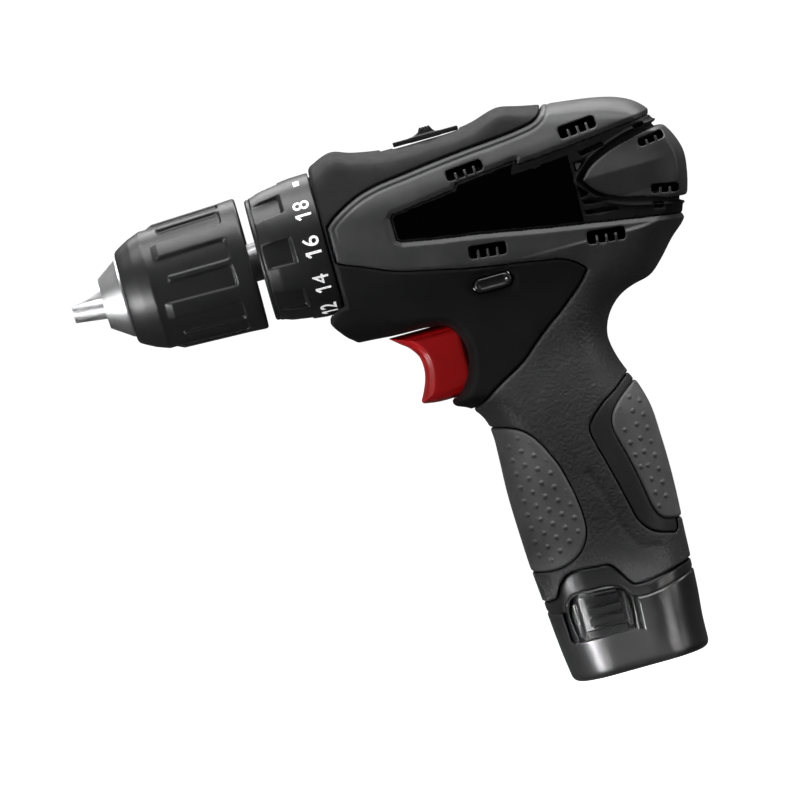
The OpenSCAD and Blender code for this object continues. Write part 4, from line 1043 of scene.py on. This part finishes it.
place(rear_cap(), "tool_body", "grey_shell", "rear_cap")
place(front_grip(), "tool_body", "pad_rubber", "front_grip_pad")
place(rear_grip(), "tool_body", "pad_rubber", "rear_grip_pad")
place(grip_trim(), "tool_body", "trim_rubber", "rear_grip_trim")
place(battery_cover(), "battery", "black_gloss", "battery_case")
place(speed_slider(), "speed_selector", "black_nylon", "speed_selector")
place(direction_button(), "direction_selector", "black_gloss", "direction_selector")
place(trigger_paddle(), "trigger", "red_plastic", "trigger")
place(clutch_collar(), "torque_collar", "black_shell", "torque_collar", material=DRIVE_BLACK)
place(sleeve_grip(), "chuck_sleeve", "black_shell", "chuck_sleeve", material=DRIVE_BLACK)
place(collar_numbers(), "torque_collar", "black_shell", material=NUMBER_INK_AND_GLOW)

for sub in frame["record"]["subparts"]:
    node = frame["nodes"][sub["node"]]
    node.data.materials.clear()
    node.data.materials.append(MATERIALS[sub["material_slot"]])
    for polygon in node.data.polygons:
        polygon.material_index = 0


# ---- camera, floor and lights

TARGET = Vector((-49.7 * MM, 0, 98.8 * MM))
VIEW_WIDTH = 0.248      # width of the picture at the target, metres
LENS = 400
SENSOR = 36
ELEVATION = math.radians(2)
ROLL = math.radians(15.5)

camera_data = bpy.data.cameras.new("camera")
camera_data.lens = LENS
camera_data.sensor_width = SENSOR
camera = new_object("camera", camera_data)
back = Vector((0, -math.cos(ELEVATION), math.sin(ELEVATION)))
right = Vector((math.cos(ROLL), 0, 0)) + back.cross(Vector((1, 0, 0))) * -math.sin(ROLL)
right = (right - back * right.dot(back)).normalized()
up = back.cross(right)
distance = VIEW_WIDTH * LENS / SENSOR
camera.matrix_world = Matrix((
    (right.x, up.x, back.x, TARGET.x + back.x * distance),
    (right.y, up.y, back.y, TARGET.y + back.y * distance),
    (right.z, up.z, back.z, TARGET.z + back.z * distance),
    (0, 0, 0, 1),
))
bpy.context.scene.camera = camera

FLOOR_HALF = 4.0
FLOOR_Z = -0.09         # low enough for the battery to slide out
corners = [(-1, -1), (1, -1), (1, 1), (-1, 1)]
floor_mesh = bpy.data.meshes.new("floor")
points = [(FLOOR_HALF * x, FLOOR_HALF * y, FLOOR_Z) for x, y in corners]
floor_mesh.from_pydata(points, [], [(0, 1, 2, 3)])
floor = new_object("floor", floor_mesh)
paper = plastic("floor_paper", (0.9, 0.9, 0.9), 0.9, grain=0.4, depth=0.01, spread=0.01, specular=0.0)
self_light(paper, 0.93)
floor_mesh.materials.append(paper)
floor.visible_glossy = False
floor.visible_diffuse = False


MIDDLE = (-0.02, 0, 0.12)
BATTERY = (0, 0, 0.006)
# Name, place, the point it is turned to, width and height, watts, spread in degrees
LIGHTS = [
    ("top", (-0.1, -0.15, 1.1), MIDDLE, (1.3, 0.5), 14, 180),
    ("top_rear", (0.15, 0.6, 0.9), MIDDLE, (1.3, 0.35), 9, 180),
    ("left_card", (-1.35, -0.7, 0.2), MIDDLE, (0.6, 0.9), 3, 180),
    ("right_card", (1.5, -0.5, 0.25), MIDDLE, (0.4, 0.9), 3.5, 180),
    ("nose_card", (-0.42, -0.2, 0.06), (-0.14, 0, 0.15), (0.16, 0.12), 0.065, 24),
    ("low_left", (-0.52, -0.52, 0.012), BATTERY, (0.2, 0.025), 0.055, 4.5),
    ("low_middle", (-0.25, -0.7, 0.012), (-0.01, 0, 0.006), (0.2, 0.025), 0.006, 4.5),
    ("low_right", (0.52, -0.52, 0.012), BATTERY, (0.2, 0.025), 0.007, 4.5),
]
for name, origin, aim, size, power, spread in LIGHTS:
    lamp = bpy.data.lights.new(name, "AREA")
    lamp.shape = "RECTANGLE"
    lamp.size, lamp.size_y = size
    lamp.energy = power
    lamp.spread = math.radians(spread)
    light = new_object(name, lamp)
    light.location = origin
    light.rotation_euler = (Vector(aim) - Vector(origin)).to_track_quat("-Z", "Y").to_euler()

world = bpy.data.worlds.new("studio")
bpy.context.scene.world = world
world.use_nodes = True
sky_tree = world.node_tree
sky_tree.nodes.clear()
# The camera sees plain white; surfaces are lit by a dim sky that is darker below
direction = add(sky_tree, "TexCoord").outputs["Generated"]
height = add(sky_tree, "SeparateXYZ", Vector=direction).outputs["Z"]
sky = tint(sky_tree, remap(sky_tree, height, 0, 1, -1, 1), (0.35, 0.35, 0.35), (1, 1, 1), 0.35, 1.0)
dim = add(sky_tree, "Background", Strength=0.12, Color=sky)
white = add(sky_tree, "Background", Strength=1.05, Color=(1, 1, 1, 1))
seen = add(sky_tree, "LightPath")
mix = add(sky_tree, "MixShader", seen.outputs["Is Camera Ray"], dim.outputs["Background"],
          white.outputs["Background"])
add(sky_tree, "OutputWorld", Surface=mix.outputs["Shader"])

bpy.context.scene.view_settings.view_transform = "Standard"
bpy.context.scene.view_settings.look = "None"

bpy.context.view_layer.update()
